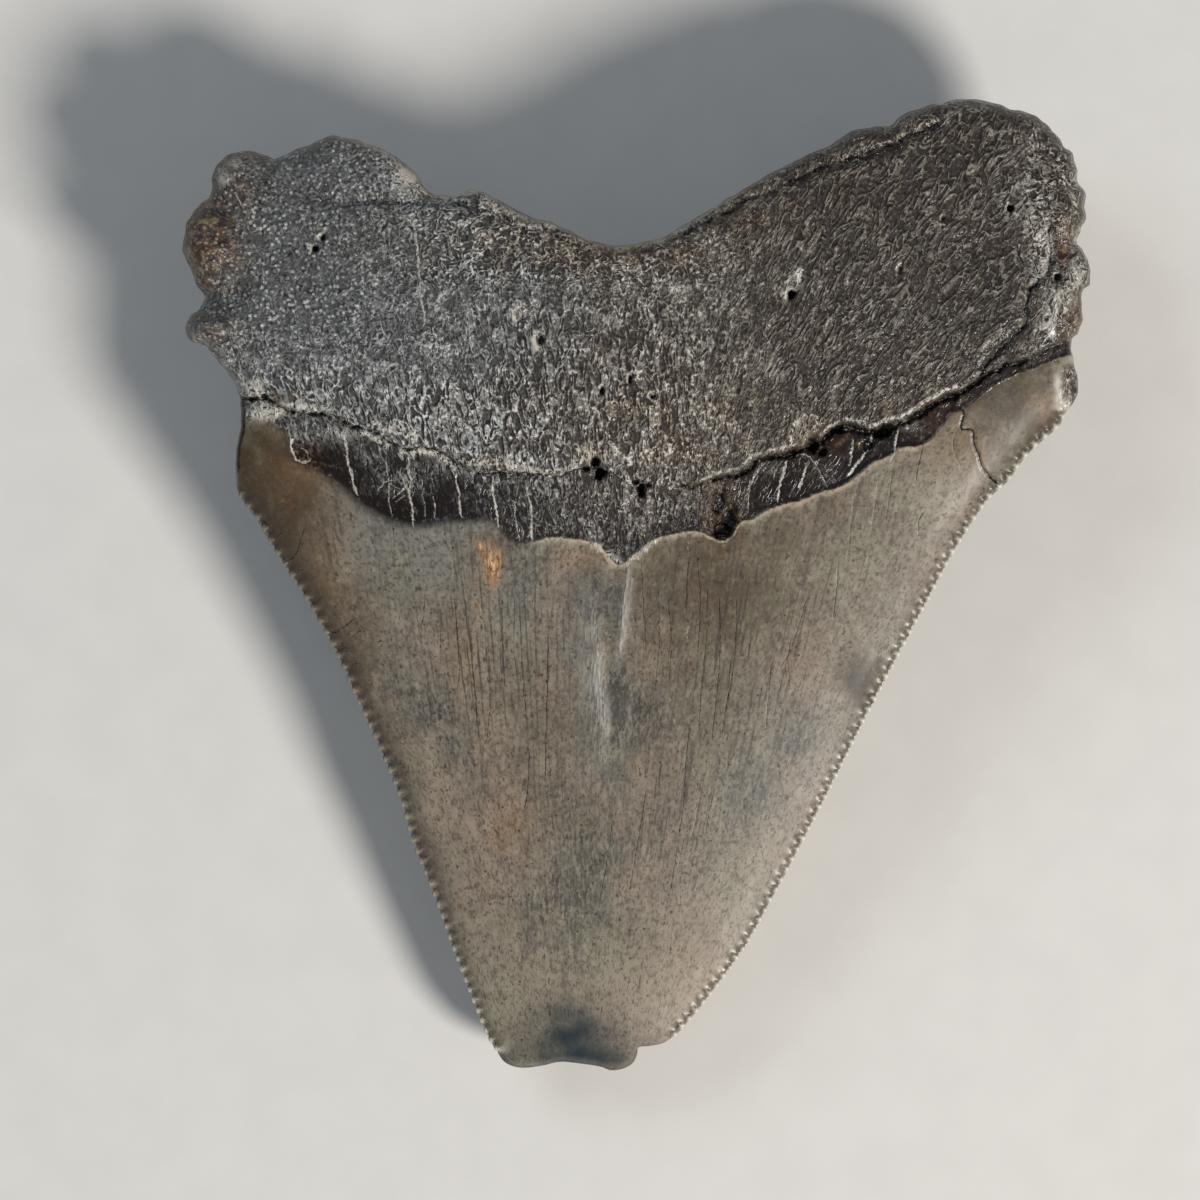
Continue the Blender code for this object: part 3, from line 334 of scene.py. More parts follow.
# stains and patches of tone, some of them painted light and shade: centre u, v, half width, half height,
# strength
stains = {
    "blue": [
        (430, 712, 28, 30, 0.9), (400, 688, 20, 16, 0.7), (455, 748, 22, 26, 0.7),
        (578, 888, 34, 46, 0.95), (600, 850, 56, 22, 0.7), (532, 915, 20, 38, 0.6),
        # the first two rows here are painted shade beside the left fold
        (640, 718, 28, 30, 1.3), (618, 700, 9, 34, 1.4), (640, 640, 14, 40, 0.4),
        (800, 735, 26, 36, 0.7), (752, 790, 30, 34, 0.6), (520, 575, 16, 40, 0.9),
        (600, 605, 24, 32, 1.1), (690, 720, 24, 34, 0.3), (560, 790, 34, 44, 0.4),
        (505, 850, 16, 44, 0.5), (612, 780, 18, 34, 0.6), (720, 1010, 18, 12, 0.3),
        (700, 860, 24, 34, 0.4), (390, 520, 30, 20, 0.5), (662, 600, 14, 34, 0.4),
        (1010, 430, 24, 26, 0.3), (565, 955, 34, 34, 0.5), (508, 552, 36, 15, 1.25),
        (470, 780, 18, 30, 0.4), (545, 830, 24, 24, 0.4), (790, 690, 18, 24, 0.4),
        (590, 740, 14, 30, 0.5),
    ],
    "sootAndFoldShade": [
        # the first two rows are painted shade beside the left fold
        (616, 704, 11, 27, 1.3), (638, 712, 16, 14, 0.8), (860, 682, 10, 20, 0.9),
        (876, 664, 6, 7, 0.6), (892, 620, 4, 5, 0.5), (722, 580, 14, 6, 0.5),
        (680, 560, 8, 10, 0.3), (578, 838, 22, 9, 0.5), (600, 862, 24, 8, 0.5),
        (556, 890, 6, 22, 0.6), (545, 905, 5, 20, 0.5), (566, 915, 5, 20, 0.5),
        (438, 712, 8, 9, 0.7), (458, 722, 7, 8, 0.5), (470, 762, 6, 14, 0.5), (412, 694, 6, 6, 0.4),
        (517, 587, 3, 8, 0.8), (300, 590, 5, 6, 0.4), (498, 712, 4, 4, 0.5), (738, 740, 7, 10, 0.4),
        (1008, 392, 12, 6, 0.4), (740, 700, 5, 20, 0.4), (724, 708, 4, 12, 0.5),
        (288, 556, 8, 4, 0.5),
    ],
    "tip": [
        (580, 1062, 52, 22, 1.0), (574, 1042, 38, 24, 1.0), (568, 1020, 26, 16, 0.7),
    ],
    "orange": [
        (508, 830, 15, 20, 0.6), (958, 452, 26, 26, 0.35), (335, 560, 22, 48, 0.35),
        (1045, 405, 16, 12, 0.5), (460, 665, 14, 36, 0.25), (705, 985, 24, 26, 0.3),
        (650, 690, 14, 50, 0.15), (786, 678, 20, 26, 0.3), (600, 510, 6, 5, 0.5),
        (597, 492, 5, 5, 0.7), (632, 510, 5, 5, 0.5), (604, 442, 8, 6, 0.3), (652, 508, 6, 7, 0.4),
        (492, 562, 16, 22, 0.5), (300, 470, 18, 20, 0.4), (580, 558, 26, 10, 0.35),
    ],
    "rust": [
        (288, 500, 5, 5, 0.9), (305, 577, 8, 7, 0.4), (341, 587, 7, 7, 0.5), (325, 520, 3, 3, 0.6),
        (207, 240, 24, 32, 1.3), (202, 285, 12, 16, 0.9), (1062, 248, 9, 17, 1.3),
        (1072, 318, 8, 16, 1.2), (1066, 275, 9, 12, 0.5), (527, 226, 18, 9, 0.8),
        (640, 258, 50, 8, 0.7), (725, 226, 46, 9, 0.6), (610, 400, 50, 60, 0.15),
        (650, 455, 50, 30, 0.2), (920, 415, 30, 14, 0.6), (280, 400, 16, 6, 0.8),
        (468, 651, 4, 7, 0.6), (722, 516, 17, 27, 1.0), (640, 440, 20, 30, 0.2),
        (820, 440, 28, 12, 0.8), (240, 200, 12, 20, 0.5), (228, 168, 18, 20, 0.5),
        (214, 330, 16, 20, 0.3), (868, 682, 8, 16, 0.5), (610, 247, 50, 5, 0.4),
        (935, 400, 30, 10, 0.5),
    ],
    # pale chips of bone, with painted highlights on the lit walls of some pits
    "chipsAndPitHighlights": [
        (413, 178, 13, 10, 1.6), (226, 180, 6, 8, 1.0), (240, 165, 10, 5, 0.7),
        (264, 413, 20, 7, 1.1), (520, 214, 16, 6, 0.7), (796, 280, 4, 9, 0.9),
        (524, 314, 9, 6, 0.5), (256, 387, 7, 7, 1.1), (592, 452, 14, 6, 0.6),
        (770, 372, 8, 10, 0.4), (678, 292, 10, 5, 0.8), (600, 320, 8, 8, 0.4),
        (306, 410, 30, 6, 0.5), (345, 434, 30, 8, 0.35), (540, 350, 5, 5, 0.4),
        (800, 430, 12, 12, 0.4), (770, 470, 10, 6, 0.3), (612, 320, 8, 8, 0.4),
        (655, 340, 8, 5, 0.35), (905, 425, 10, 4, 0.5), (600, 360, 10, 8, 0.3),
        (716, 500, 8, 10, 0.3), (1068, 405, 4, 6, 0.8),
    ],
    # glossy flakes: smoother, with painted glints on their ridges
    "glossAndGlint": [
        (1040, 245, 8, 18, 0.5), (1038, 275, 7, 10, 0.5), (1075, 272, 9, 9, 0.7),
        (1052, 300, 7, 10, 0.6), (1048, 332, 8, 12, 0.6), (1060, 300, 8, 8, 0.4),
        (870, 312, 5, 10, 0.3), (1024, 200, 18, 24, 0.25),
    ],
    # brown tone; the large patches on the left also serve as painted shade on the side away from the light
    "brownAndSideShade": [
        (268, 500, 56, 80, 1.3), (300, 590, 44, 80, 1.0), (345, 660, 40, 80, 0.65),
        (385, 730, 32, 60, 0.4), (712, 590, 76, 66, 0.8), (640, 590, 18, 40, 0.5),
        (770, 545, 60, 34, 0.55), (840, 520, 50, 44, 0.35), (1010, 400, 60, 40, 1.0),
        (1000, 425, 90, 46, 0.65), (296, 530, 56, 90, 1.0), (860, 682, 14, 22, 1.2),
        (878, 664, 8, 8, 0.9), (400, 570, 70, 46, 0.35), (560, 690, 70, 110, 0.25),
        (700, 690, 70, 80, 0.45), (470, 560, 40, 30, 0.4), (630, 780, 90, 60, 0.2),
        (880, 600, 40, 60, 0.15), (660, 590, 26, 50, 0.5),
    ],
    # pale tone; the patches on the right also serve as painted light on the side facing the lamp
    "light": [
        (760, 890, 80, 100, 0.5), (650, 1000, 70, 50, 0.5), (520, 1010, 44, 50, 0.4),
        (880, 620, 40, 80, 0.2), (940, 500, 40, 60, 0.3), (830, 780, 40, 80, 0.4),
        (450, 880, 34, 90, 0.3), (500, 960, 40, 60, 0.4), (420, 800, 24, 70, 0.3),
        (395, 720, 16, 50, 0.2),
    ],
    "mist": [
        (800, 735, 26, 40, 0.8), (752, 790, 34, 40, 0.7), (780, 700, 30, 34, 0.5),
        (578, 640, 16, 40, 0.7), (586, 690, 14, 40, 0.6), (600, 760, 26, 40, 0.4),
        (372, 545, 40, 34, 0.8), (430, 560, 40, 40, 0.7), (520, 590, 22, 44, 0.6),
        (960, 480, 20, 20, 0.2), (560, 620, 20, 40, 0.3), (410, 640, 30, 40, 0.3),
        (660, 800, 40, 40, 0.25), (690, 900, 40, 40, 0.25), (1000, 400, 40, 20, 0.3),
    ],
    "lined": [
        (480, 650, 60, 110, 1.0), (535, 640, 40, 110, 0.8), (740, 640, 80, 130, 1.0),
        (560, 800, 70, 60, 0.5), (680, 790, 50, 80, 0.8), (840, 530, 60, 70, 0.8),
        (330, 530, 34, 40, 0.7), (580, 920, 50, 50, 0.4), (400, 560, 50, 40, 0.5),
    ],
    # painted bluish sheen on the root's left lobe
    "blueSheen": [
        (330, 300, 120, 110, 1.0), (250, 340, 60, 70, 0.8), (450, 330, 70, 90, 0.35),
        (330, 180, 80, 40, 0.6),
    ],
    "tan": [
        (650, 420, 110, 70, 0.6), (560, 250, 110, 30, 0.9), (760, 190, 120, 34, 0.7),
        (500, 430, 60, 40, 0.4), (900, 140, 60, 24, 0.4), (210, 250, 30, 60, 0.5),
        (1050, 250, 20, 100, 0.4),
    ],
}
# patches of the band that carry the root's grain: centre u, v, half width, half height, strength
grainPatches = [
    (320, 428, 34, 11, 1.0), (375, 448, 22, 12, 0.6), (620, 502, 80, 34, 1.0), (405, 478, 26, 14, 0.4),
    (440, 468, 26, 10, 0.6), (560, 500, 34, 20, 0.7), (700, 505, 30, 24, 0.7), (500, 482, 30, 8, 0.5),
    (980, 385, 60, 12, 0.4), (815, 470, 14, 12, 0.5), (1030, 362, 40, 9, 0.45), (1000, 378, 50, 12, 0.5),
]
# worn facet and painted highlight crescent on the right shoulder: centre u, v, half width, half height,
# strength
shoulderFacet = [(1071, 387, 9, 19, 1.6)]
shoulderHighlightSpots = [(1060, 396, 4, 11, 1.2), (1056, 384, 3, 8, 1.0), (1065, 406, 4, 6, 1.0)]

# what a user would change on the tooth (millimetres)
tooth = {
    "rootSpacing": 0.215,          # mesh spacing over the root
    "ledgeSpacing": 0.135,         # along the ledge between root and crown
    "holeSpacing": 0.13,
    "crownSpacing": 0.37,
    "lingualSpacing": 0.66,
    "foramenSpacing": 0.25,
    "rimSpacingRoot": 0.30,
    "rimSpacingShoulder": 0.22,
    "rimSpacingBreak": 0.16,
    "rimStrips": 8,
    "lineSpacing": 0.06,           # points of the drawn lines
    "crackSpacing": 0.05,
    "foldSpacing": 0.08,
    "serrationPitchTip": 0.86,
    "serrationPitchShoulder": 1.10,
    "serrationPitchUneven": 0.16,
    "serrationDepth": 0.28,
    "serrationDepthUneven": 0.35,
    "serrationSharpness": 2.2,
    "serrationReach": 0.8,         # how far a groove runs in from the edge
    "pointsPerSerration": 8,
    "edgeThickness": 0.40,
    "rootInset": 0.32,             # how far the root's rim is drawn in above and below
    "edgeInset": 0.03,
    "labialRimRadius": 1.9,
    "lingualRimRadius": 4.0,
    "breakRimRadius": 0.8,
    "breakHollow": 0.35,
    "lipHeight": 0.42,             # the root's lip over the band
    "lipGap": 0.30,                # depth of the open gap under it
    "bandSink": 0.22,              # the band below the enamel
    "splitDepth": 0.45,            # between the root's end and its right lobe
    "paleRimHeight": 0.09,
    "rootRoughness": 0.040,        # height of the root's grain
    "rootWaviness": 0.10,          # height of the broader unevenness
    "enamelRoughness": 0.010,
    "lingualBand": 5.3,            # width of the dark band on the lingual side
    "minimumThickness": 0.35,
}


def onTooth(points):   # drawing units to millimetres
    return [(drawingStep * u + drawingCorner[0], drawingCorner[1] - drawingStep * v) for u, v in points]


def onDrawing(x, y):   # and back
    return (x - drawingCorner[0]) / drawingStep, (drawingCorner[1] - y) / drawingStep


# curves and small measures
def splineAt(values, table):   # natural cubic spline through (place, height) pairs
    xs, ys = np.array(table, float).T
    h = np.diff(xs)
    count = len(xs)
    matrix = np.eye(count)
    right = np.zeros(count)
    for i in range(1, count - 1):
        matrix[i, i - 1:i + 2] = h[i - 1], 2 * (h[i - 1] + h[i]), h[i]
        right[i] = 6 * ((ys[i + 1] - ys[i]) / h[i] - (ys[i] - ys[i - 1]) / h[i - 1])
    bend = np.linalg.solve(matrix, right)
    values = np.clip(values, xs[0], xs[-1])
    i = np.clip(np.searchsorted(xs, values) - 1, 0, count - 2)
    a = (xs[i + 1] - values) / h[i]
    b = (values - xs[i]) / h[i]
    cubic = ((a ** 3 - a) * bend[i] + (b ** 3 - b) * bend[i + 1]) * h[i] ** 2 / 6
    return a * ys[i] + b * ys[i + 1] + cubic


def runAlong(line):   # the length run up to each point
    return np.concatenate([[0], np.cumsum(np.hypot(*np.diff(line, axis=0).T))])


def leftOf(ahead):   # unit steps to the left of some directions
    return np.column_stack([-ahead[:, 1], ahead[:, 0]]) / np.hypot(*ahead.T)[:, None]


def smoothCurve(points, spacing):   # evenly spaced points on a Catmull-Rom curve
    pts = np.array(points, float)
    pts = np.vstack([2 * pts[0] - pts[1], pts, 2 * pts[-1] - pts[-2]])
    dense = []
    for i in range(1, len(pts) - 2):
        p0, p1, p2, p3 = pts[i - 1:i + 3]
        for t in np.linspace(0, 1, 12, endpoint=False):
            dense.append(0.5 * (2 * p1 + (p2 - p0) * t + (2 * p0 - 5 * p1 + 4 * p2 - p3) * t ** 2
                                + (3 * p1 - p0 - 3 * p2 + p3) * t ** 3))
    dense.append(pts[-2])
    dense = np.array(dense)
    run = runAlong(dense)
    count = max(2, round(run[-1] / spacing) + 1)
    places = np.linspace(0, run[-1], count)
    return np.column_stack([np.interp(places, run, dense[:, k]) for k in (0, 1)])


def ramp(value, low, high):   # smooth step
    t = np.clip((value - low) / (high - low), 0, 1)
    return t * t * (3 - 2 * t)


def ripple(index, seed):   # a repeatable uneven number from -1 to 1
    return np.sin(index * 12.9898 + seed * 4.1414) * np.cos(index * 3.7 + seed)


def bump(x, y, centreX, centreY, spreadX, spreadY):
    return np.exp(-((x - centreX) / spreadX) ** 2 - ((y - centreY) / spreadY) ** 2)


def lumpsOf(x, y, rows):   # the sum of a table of lumps
    return sum(height * bump(x, y, *oval) for *oval, height in rows)


def ridge(away, reach):   # 1 on a line, fading to both sides
    return np.exp(-(away / reach) ** 2)


def unevenness(u, v, seed):   # smooth two-way noise, about -1 to 1
    iu, iv = np.floor(u), np.floor(v)
    fu, fv = u - iu, v - iv
    su = fu * fu * fu * (fu * (fu * 6 - 15) + 10)
    sv = fv * fv * fv * (fv * (fv * 6 - 15) + 10)

    def corner(du, dv):
        h = np.sin((iu + du) * 127.1 + (iv + dv) * 311.7 + seed * 74.7) * 43758.5453
        turn = (h - np.floor(h)) * math.tau
        return np.cos(turn) * (fu - du) + np.sin(turn) * (fv - dv)

    low = corner(0, 0) * (1 - su) + corner(1, 0) * su
    high = corner(0, 1) * (1 - su) + corner(1, 1) * su
    return 1.5 * (low * (1 - sv) + high * sv)


class lineSearch:   # finds the nearest place on a line for many points at once
    def __init__(self, line):
        self.line = np.array(line)
        self.aside = leftOf(np.gradient(self.line, axis=0))
        self.tree = kdtree.KDTree(len(self.line))
        for i, (x, y) in enumerate(self.line):
            self.tree.insert((x, y, 0), i)
        self.tree.balance()

    def nearest(self, x, y):   # how far, on which side, and the place's number
        find = self.tree.find
        index = np.array([find((a, b, 0))[1] for a, b in zip(x.tolist(), y.tolist())], int)
        dx = x - self.line[index, 0]
        dy = y - self.line[index, 1]
        side = self.aside[index, 0] * dx + self.aside[index, 1] * dy
        return np.hypot(dx, dy), np.where(side >= 0, 1.0, -1.0), index

    def signed(self, x, y):   # how far to the left, less than nothing on the right
        away, side, _ = self.nearest(x, y)
        return away * side


def roughened(line, amount, reach, seed):   # shakes a line sideways
    run = np.arange(len(line)) / reach
    shake = unevenness(run, seed, 11) + 0.6 * unevenness(2.3 * run, seed, 12)
    return line + leftOf(np.gradient(line, axis=0)) * (amount * shake)[:, None]


# the outline: serrated cutting edges, rounded root, hollow break
def soften(values, passes):
    for _ in range(passes):
        values = (np.roll(values, 1, axis=0) + values + np.roll(values, -1, axis=0)) / 3
    return values


class rimLoop:   # collects the outline point by point
    def __init__(self):
        self.points = []
        self.plain = []      # without the serrations
        self.root = []       # 1 round the root, 0 on the cutting edges
        self.broken = []     # 1 on the break
        self.notch = []      # 1 in a notch, 0 on a bead

    def add(self, points, root, broken, notch=None, plain=None):
        for i, point in enumerate(points[:-1]):
            self.points.append(point)
            self.plain.append(point if plain is None else plain[i])
            self.root.append(root)
            self.broken.append(broken)
            self.notch.append(0.0 if notch is None else notch[i])

    def close(self):
        self.points = np.array(self.points)
        self.plain = np.array(self.plain)
        self.root = soften(np.array(self.root, float), 12)
        self.broken = soften(np.array(self.broken, float), 5)
        self.notch = np.array(self.notch, float)
        ahead = np.roll(self.plain, -1, axis=0) - np.roll(self.plain, 1, axis=0)
        self.inward = leftOf(soften(ahead, 2))
        # the root's margin is rough bone
        run = np.arange(len(self.points))
        rough = 0.07 * unevenness(run * 0.31, 0, 5) + 0.05 * unevenness(run * 0.11, 0, 6)
        ends = 1 + 1.4 * ramp(np.abs(self.points[:, 0]), 31.0, 34.0)
        shift = self.inward * (rough * ends * self.root * (1 - self.broken))[:, None]
        self.points = self.points + shift
        self.plain = self.plain + shift


def serratedEdge(points, pitchStart, pitchEnd, seed):
    line = smoothCurve(points, 0.05)
    run = runAlong(line)
    marks = [0.0]
    while marks[-1] < run[-1] - 0.6 * pitchEnd:
        share = marks[-1] / run[-1]
        pitch = pitchStart + (pitchEnd - pitchStart) * share
        marks.append(marks[-1] + pitch * (1 + tooth["serrationPitchUneven"] * ripple(len(marks), seed)))
    marks = np.array(marks) * run[-1] / marks[-1]
    edge, notch, plain = [], [], []
    steps = tooth["pointsPerSerration"]
    depths = tooth["serrationDepth"] * (
        1 + tooth["serrationDepthUneven"] * ripple(np.arange(len(marks)), seed + 2))
    for k in range(len(marks) - 1):
        for step in range(steps):
            share = step / steps
            value = (0.5 + 0.5 * math.cos(math.tau * share)) ** tooth["serrationSharpness"]
            depth = depths[k] if share < 0.5 else depths[k + 1]
            place = marks[k] + share * (marks[k + 1] - marks[k])
            point = np.array([np.interp(place, run, line[:, 0]), np.interp(place, run, line[:, 1])])
            i = min(max(np.searchsorted(run, place), 1), len(run) - 2)
            ahead = line[i + 1] - line[i - 1]
            inward = np.array([-ahead[1], ahead[0]]) / np.hypot(*ahead)
            first = k == 0 and step == 0
            edge.append(point if first else point + inward * depth * value)
            plain.append(point)
            notch.append(value)
    edge.append(line[-1])
    return edge, notch, plain


def makeRim():
    rim = rimLoop()
    near, far = tooth["serrationPitchTip"], tooth["serrationPitchShoulder"]
    shoulderSpacing = tooth["rimSpacingShoulder"]
    rim.add(smoothCurve(tipBreak, tooth["rimSpacingBreak"]), 0, 1)
    edge, notch, plain = serratedEdge(rightEdge, near, far, 1)
    rim.add(edge, 0, 0, notch, plain)
    rim.add(smoothCurve(rightShoulder, shoulderSpacing), 0.4, 0)
    for stretch in (rightRootEnd, rightLobeTop, saddle, leftLobeTop, leftRootEnd):
        rim.add(smoothCurve(stretch, tooth["rimSpacingRoot"]), 1, 0)
    rim.add(smoothCurve(leftShoulder, shoulderSpacing), 0.5, 0)
    edge, notch, plain = serratedEdge(leftEdge, far, near, 5)
    rim.add(edge, 0, 0, notch, plain)
    rim.close()
    return rim


def drawnLine(points, amount, reach, seed):   # a line of the drawing, shaken a little
    line = smoothCurve(onTooth(points), tooth["lineSpacing"])
    return lineSearch(roughened(line, amount, reach, seed))


rim = makeRim()
rimSearch = lineSearch(np.vstack([
    rim.points[:-1] * (1 - t) + rim.points[1:] * t for t in (0.0, 0.5)
]).reshape(2, -1, 2).transpose(1, 0, 2).reshape(-1, 2))
ledge = drawnLine(ledgeLine, 0.12, 9, 1.5)
enamelEdge = drawnLine(enamelTop, 0.06, 6, 2.5)
layerLeft = drawnLine(leftLayer, 0.14, 9, 3.5)
layerRight = drawnLine(rightLayer, 0.14, 9, 4.5)
split = drawnLine(lobeSplit, 0.14, 7, 5.5)
for fold in folds.values():
    fold["search"] = lineSearch(smoothCurve(onTooth(fold["line"]), tooth["foldSpacing"]))
print("outline and lines drawn:", len(rim.points), "points round the rim")


def rimAt(x, y):   # distance inside the outline and the finish of its nearest stretch
    away, side, index = rimSearch.nearest(x, y)
    index = index // 2
    return away * side, rim.root[index], rim.broken[index], rim.notch[index]


# cracks as one search over all of them; fine ones lie in the enamel
crackRows = []
for width, depth, pale, points in cracks:
    fine = points[0][1] > 425 and pale < 0.6 and abs(depth) < 0.08
    shake, reach = (0.05, 24) if pale < 0.3 else (0.08, 6)
    line = roughened(smoothCurve(onTooth(points), tooth["crackSpacing"]), shake, reach, points[0][0])
    run = np.arange(len(line))
    thick = 1 + (0.4 if fine else 0.5) * unevenness(run * 0.16, points[0][1], 12)
    thick += (0.35 if fine else 0.5) * unevenness(run * 0.41, points[0][1], 13)
    taper = np.minimum(1, np.minimum(run + 4, len(line) + 3 - run) / 12)
    shade = 0.0 if depth < 0 else 0.62 if fine else 1.0
    crackRows.append((line, width * thick * taper * (0.85 if fine else 1.0),
                      np.full(len(line), 0.2 * depth if fine else depth),
                      np.full(len(line), pale), np.full(len(line), shade)))
crackLines = [row[0] for row in crackRows]
crackSearch = lineSearch(np.vstack(crackLines))
crackWidth, crackDepth, crackPale, crackShade = (
    np.concatenate([row[k] for row in crackRows]) for k in range(1, 5))

paleLines = [smoothCurve(onTooth(points), tooth["lineSpacing"]) for _, _, points in paleRims]
paleSearch = lineSearch(np.vstack(paleLines))
paleWidth, paleStrength = (
    np.concatenate([np.full(len(line), row[k]) for line, row in zip(paleLines, paleRims)]) for k in (0, 1))


# heights
def acrossTooth(x, y):   # -1 at the left limit, 1 at the right one
    left = splineAt(y, leftLimit)
    right = splineAt(y, rightLimit)
    return np.clip((2 * x - left - right) / (right - left), -1.05, 1.05)


def rimFall(inside, radius):
    share = np.clip(inside / radius, 0, 1)
    return radius * (1 - np.sqrt(np.maximum(0, 1 - (1 - share) ** 2)))


def spots(x, y, rows, warp=0.0, power=2.0, seed=3):   # the strongest of a list of soft spots
    def wander(own):
        return warp * (unevenness(x / 1.7, y / 1.7, own) + 0.5 * unevenness(x / 0.6, y / 0.6, own + 1))

    u, v = onDrawing(x, y)
    wanderU, wanderV = wander(seed), wander(seed + 2)
    total = np.zeros(len(x))
    for centreU, centreV, halfU, halfV, strength in rows:
        reach = np.hypot((u - centreU) / halfU + wanderU, (v - centreV) / halfV + wanderV)
        total = np.maximum(total, strength * np.exp(-0.7 * reach ** power))
    return total


def paleShape(x, y):   # broken pale edges, 0 to 1
    away, _, index = paleSearch.nearest(x, y)
    broken = np.clip(0.85 + 1.1 * unevenness(x / 0.55, y / 0.55, 24), 0, 1)
    return paleStrength[index] * broken * np.clip(1.4 - away / paleWidth[index], 0, 1)


def holeShape(x, y):   # depth of the holes, and how dark their painted shade is
    u, v = onDrawing(x, y)
    ragged = 0.30 * unevenness(x / 0.45, y / 0.45, 21) + 0.22 * unevenness(x / 0.2, y / 0.2, 22)
    deep = np.zeros(len(x))
    dark = np.zeros(len(x))
    for centreU, centreV, halfU, halfV, depth, black in holes:
        reach = np.hypot((u - centreU) / halfU, (v - centreV) / halfV) + ragged
        deep = np.maximum(deep, depth * (1 - ramp(reach, 0.35, 1.3)))
        dark = np.maximum(dark, black * (1 - ramp(reach, 0.55, 1.15)))
    return deep, dark


def pitWallHighlight(x, y):   # painted highlight on the lit upper left walls of the root's pits
    u, v = onDrawing(x, y)
    pale = np.zeros(len(x))
    for centreU, centreV, halfU, halfV, depth, _ in holes:
        if centreV > 400 or depth < 0.35:
            continue
        alongU, alongV = (u - centreU) / halfU, (v - centreV) / halfV
        reach = np.hypot(alongU, alongV) + 0.25 * unevenness(x / 0.4, y / 0.4, 27)
        turned = ramp(-(alongU + 0.6 * alongV) / np.maximum(reach, 0.1), -0.2, 0.8)
        pale = np.maximum(pale, 0.9 * turned * ridge(reach - 1.25, 0.35))
    return pale


def boneGrain(x, y, z):   # two fans of fibre directions: left and middle, and right
    left = np.column_stack([np.arctan2(x - 4, y + 60) * 80, np.hypot(x - 4, y + 60), z])
    right = np.column_stack([np.arctan2(x + 25, y + 45) * 80, np.hypot(x + 25, y + 45), z])
    return left, right


def crownGrain(x, y, z):   # fibres that draw together towards the tip
    wide = 31 + 0.5 * (np.clip(y, -40, 40) - 10)
    middle = 0.05 * (y - 10) - 0.6
    return np.column_stack([(x - middle) / (wide / 31) ** 0.6, y, z])


def ledgeShare(x):   # the ledge is clear on both sides and faint in the middle
    return 1 - 0.75 * ramp(x, -2.8, -1.0) * (1 - ramp(x, 4.0, 6.0)) - 0.4 * ramp(x, 29.5, 31.5)


def gapWidth(x):   # half width of the open gap under the root's lip
    width = np.interp(x, *zip(*gapTable))
    return width * np.maximum(0.3, 1 + unevenness(x / 1.3, 0, 14) + 0.5 * unevenness(x / 0.4, 0, 15))


def underLip(x, y, lip):   # where the band under the lip still carries the root's grain
    shake = unevenness(x / 0.9, y / 0.9, 16) + 0.5 * unevenness(x / 0.35, y / 0.35, 17)
    strip = 0.8 * (1 - ramp(-lip + 0.45 * shake, 0.35, 1.0)) * (1 - 0.75 * ramp(x, 7.0, 9.0))
    return np.maximum(strip, spots(x, y, grainPatches, 0.35))


def rootRelief(x, y):
    left, right = boneGrain(x, y, x * 0)
    even = unevenness(left[:, 0] / 0.55, left[:, 1] / 0.75, 31)
    stretched = unevenness(right[:, 0] / 0.50, right[:, 1] / 1.30, 32)
    share = ramp(x, 3.0, 12.0)
    fine = even * (1 - share) + stretched * share
    broad = unevenness(x / 2.6, y / 2.6, 33) + 0.6 * unevenness(x / 1.2, y / 1.2, 34)
    return tooth["rootRoughness"] * fine + tooth["rootWaviness"] * 0.5 * broad


def foldAt(fold, x, y):   # distance, side, and the share of the fold that lies behind
    away, side, index = fold["search"].nearest(x, y)
    return away, side, index / len(fold["search"].line)


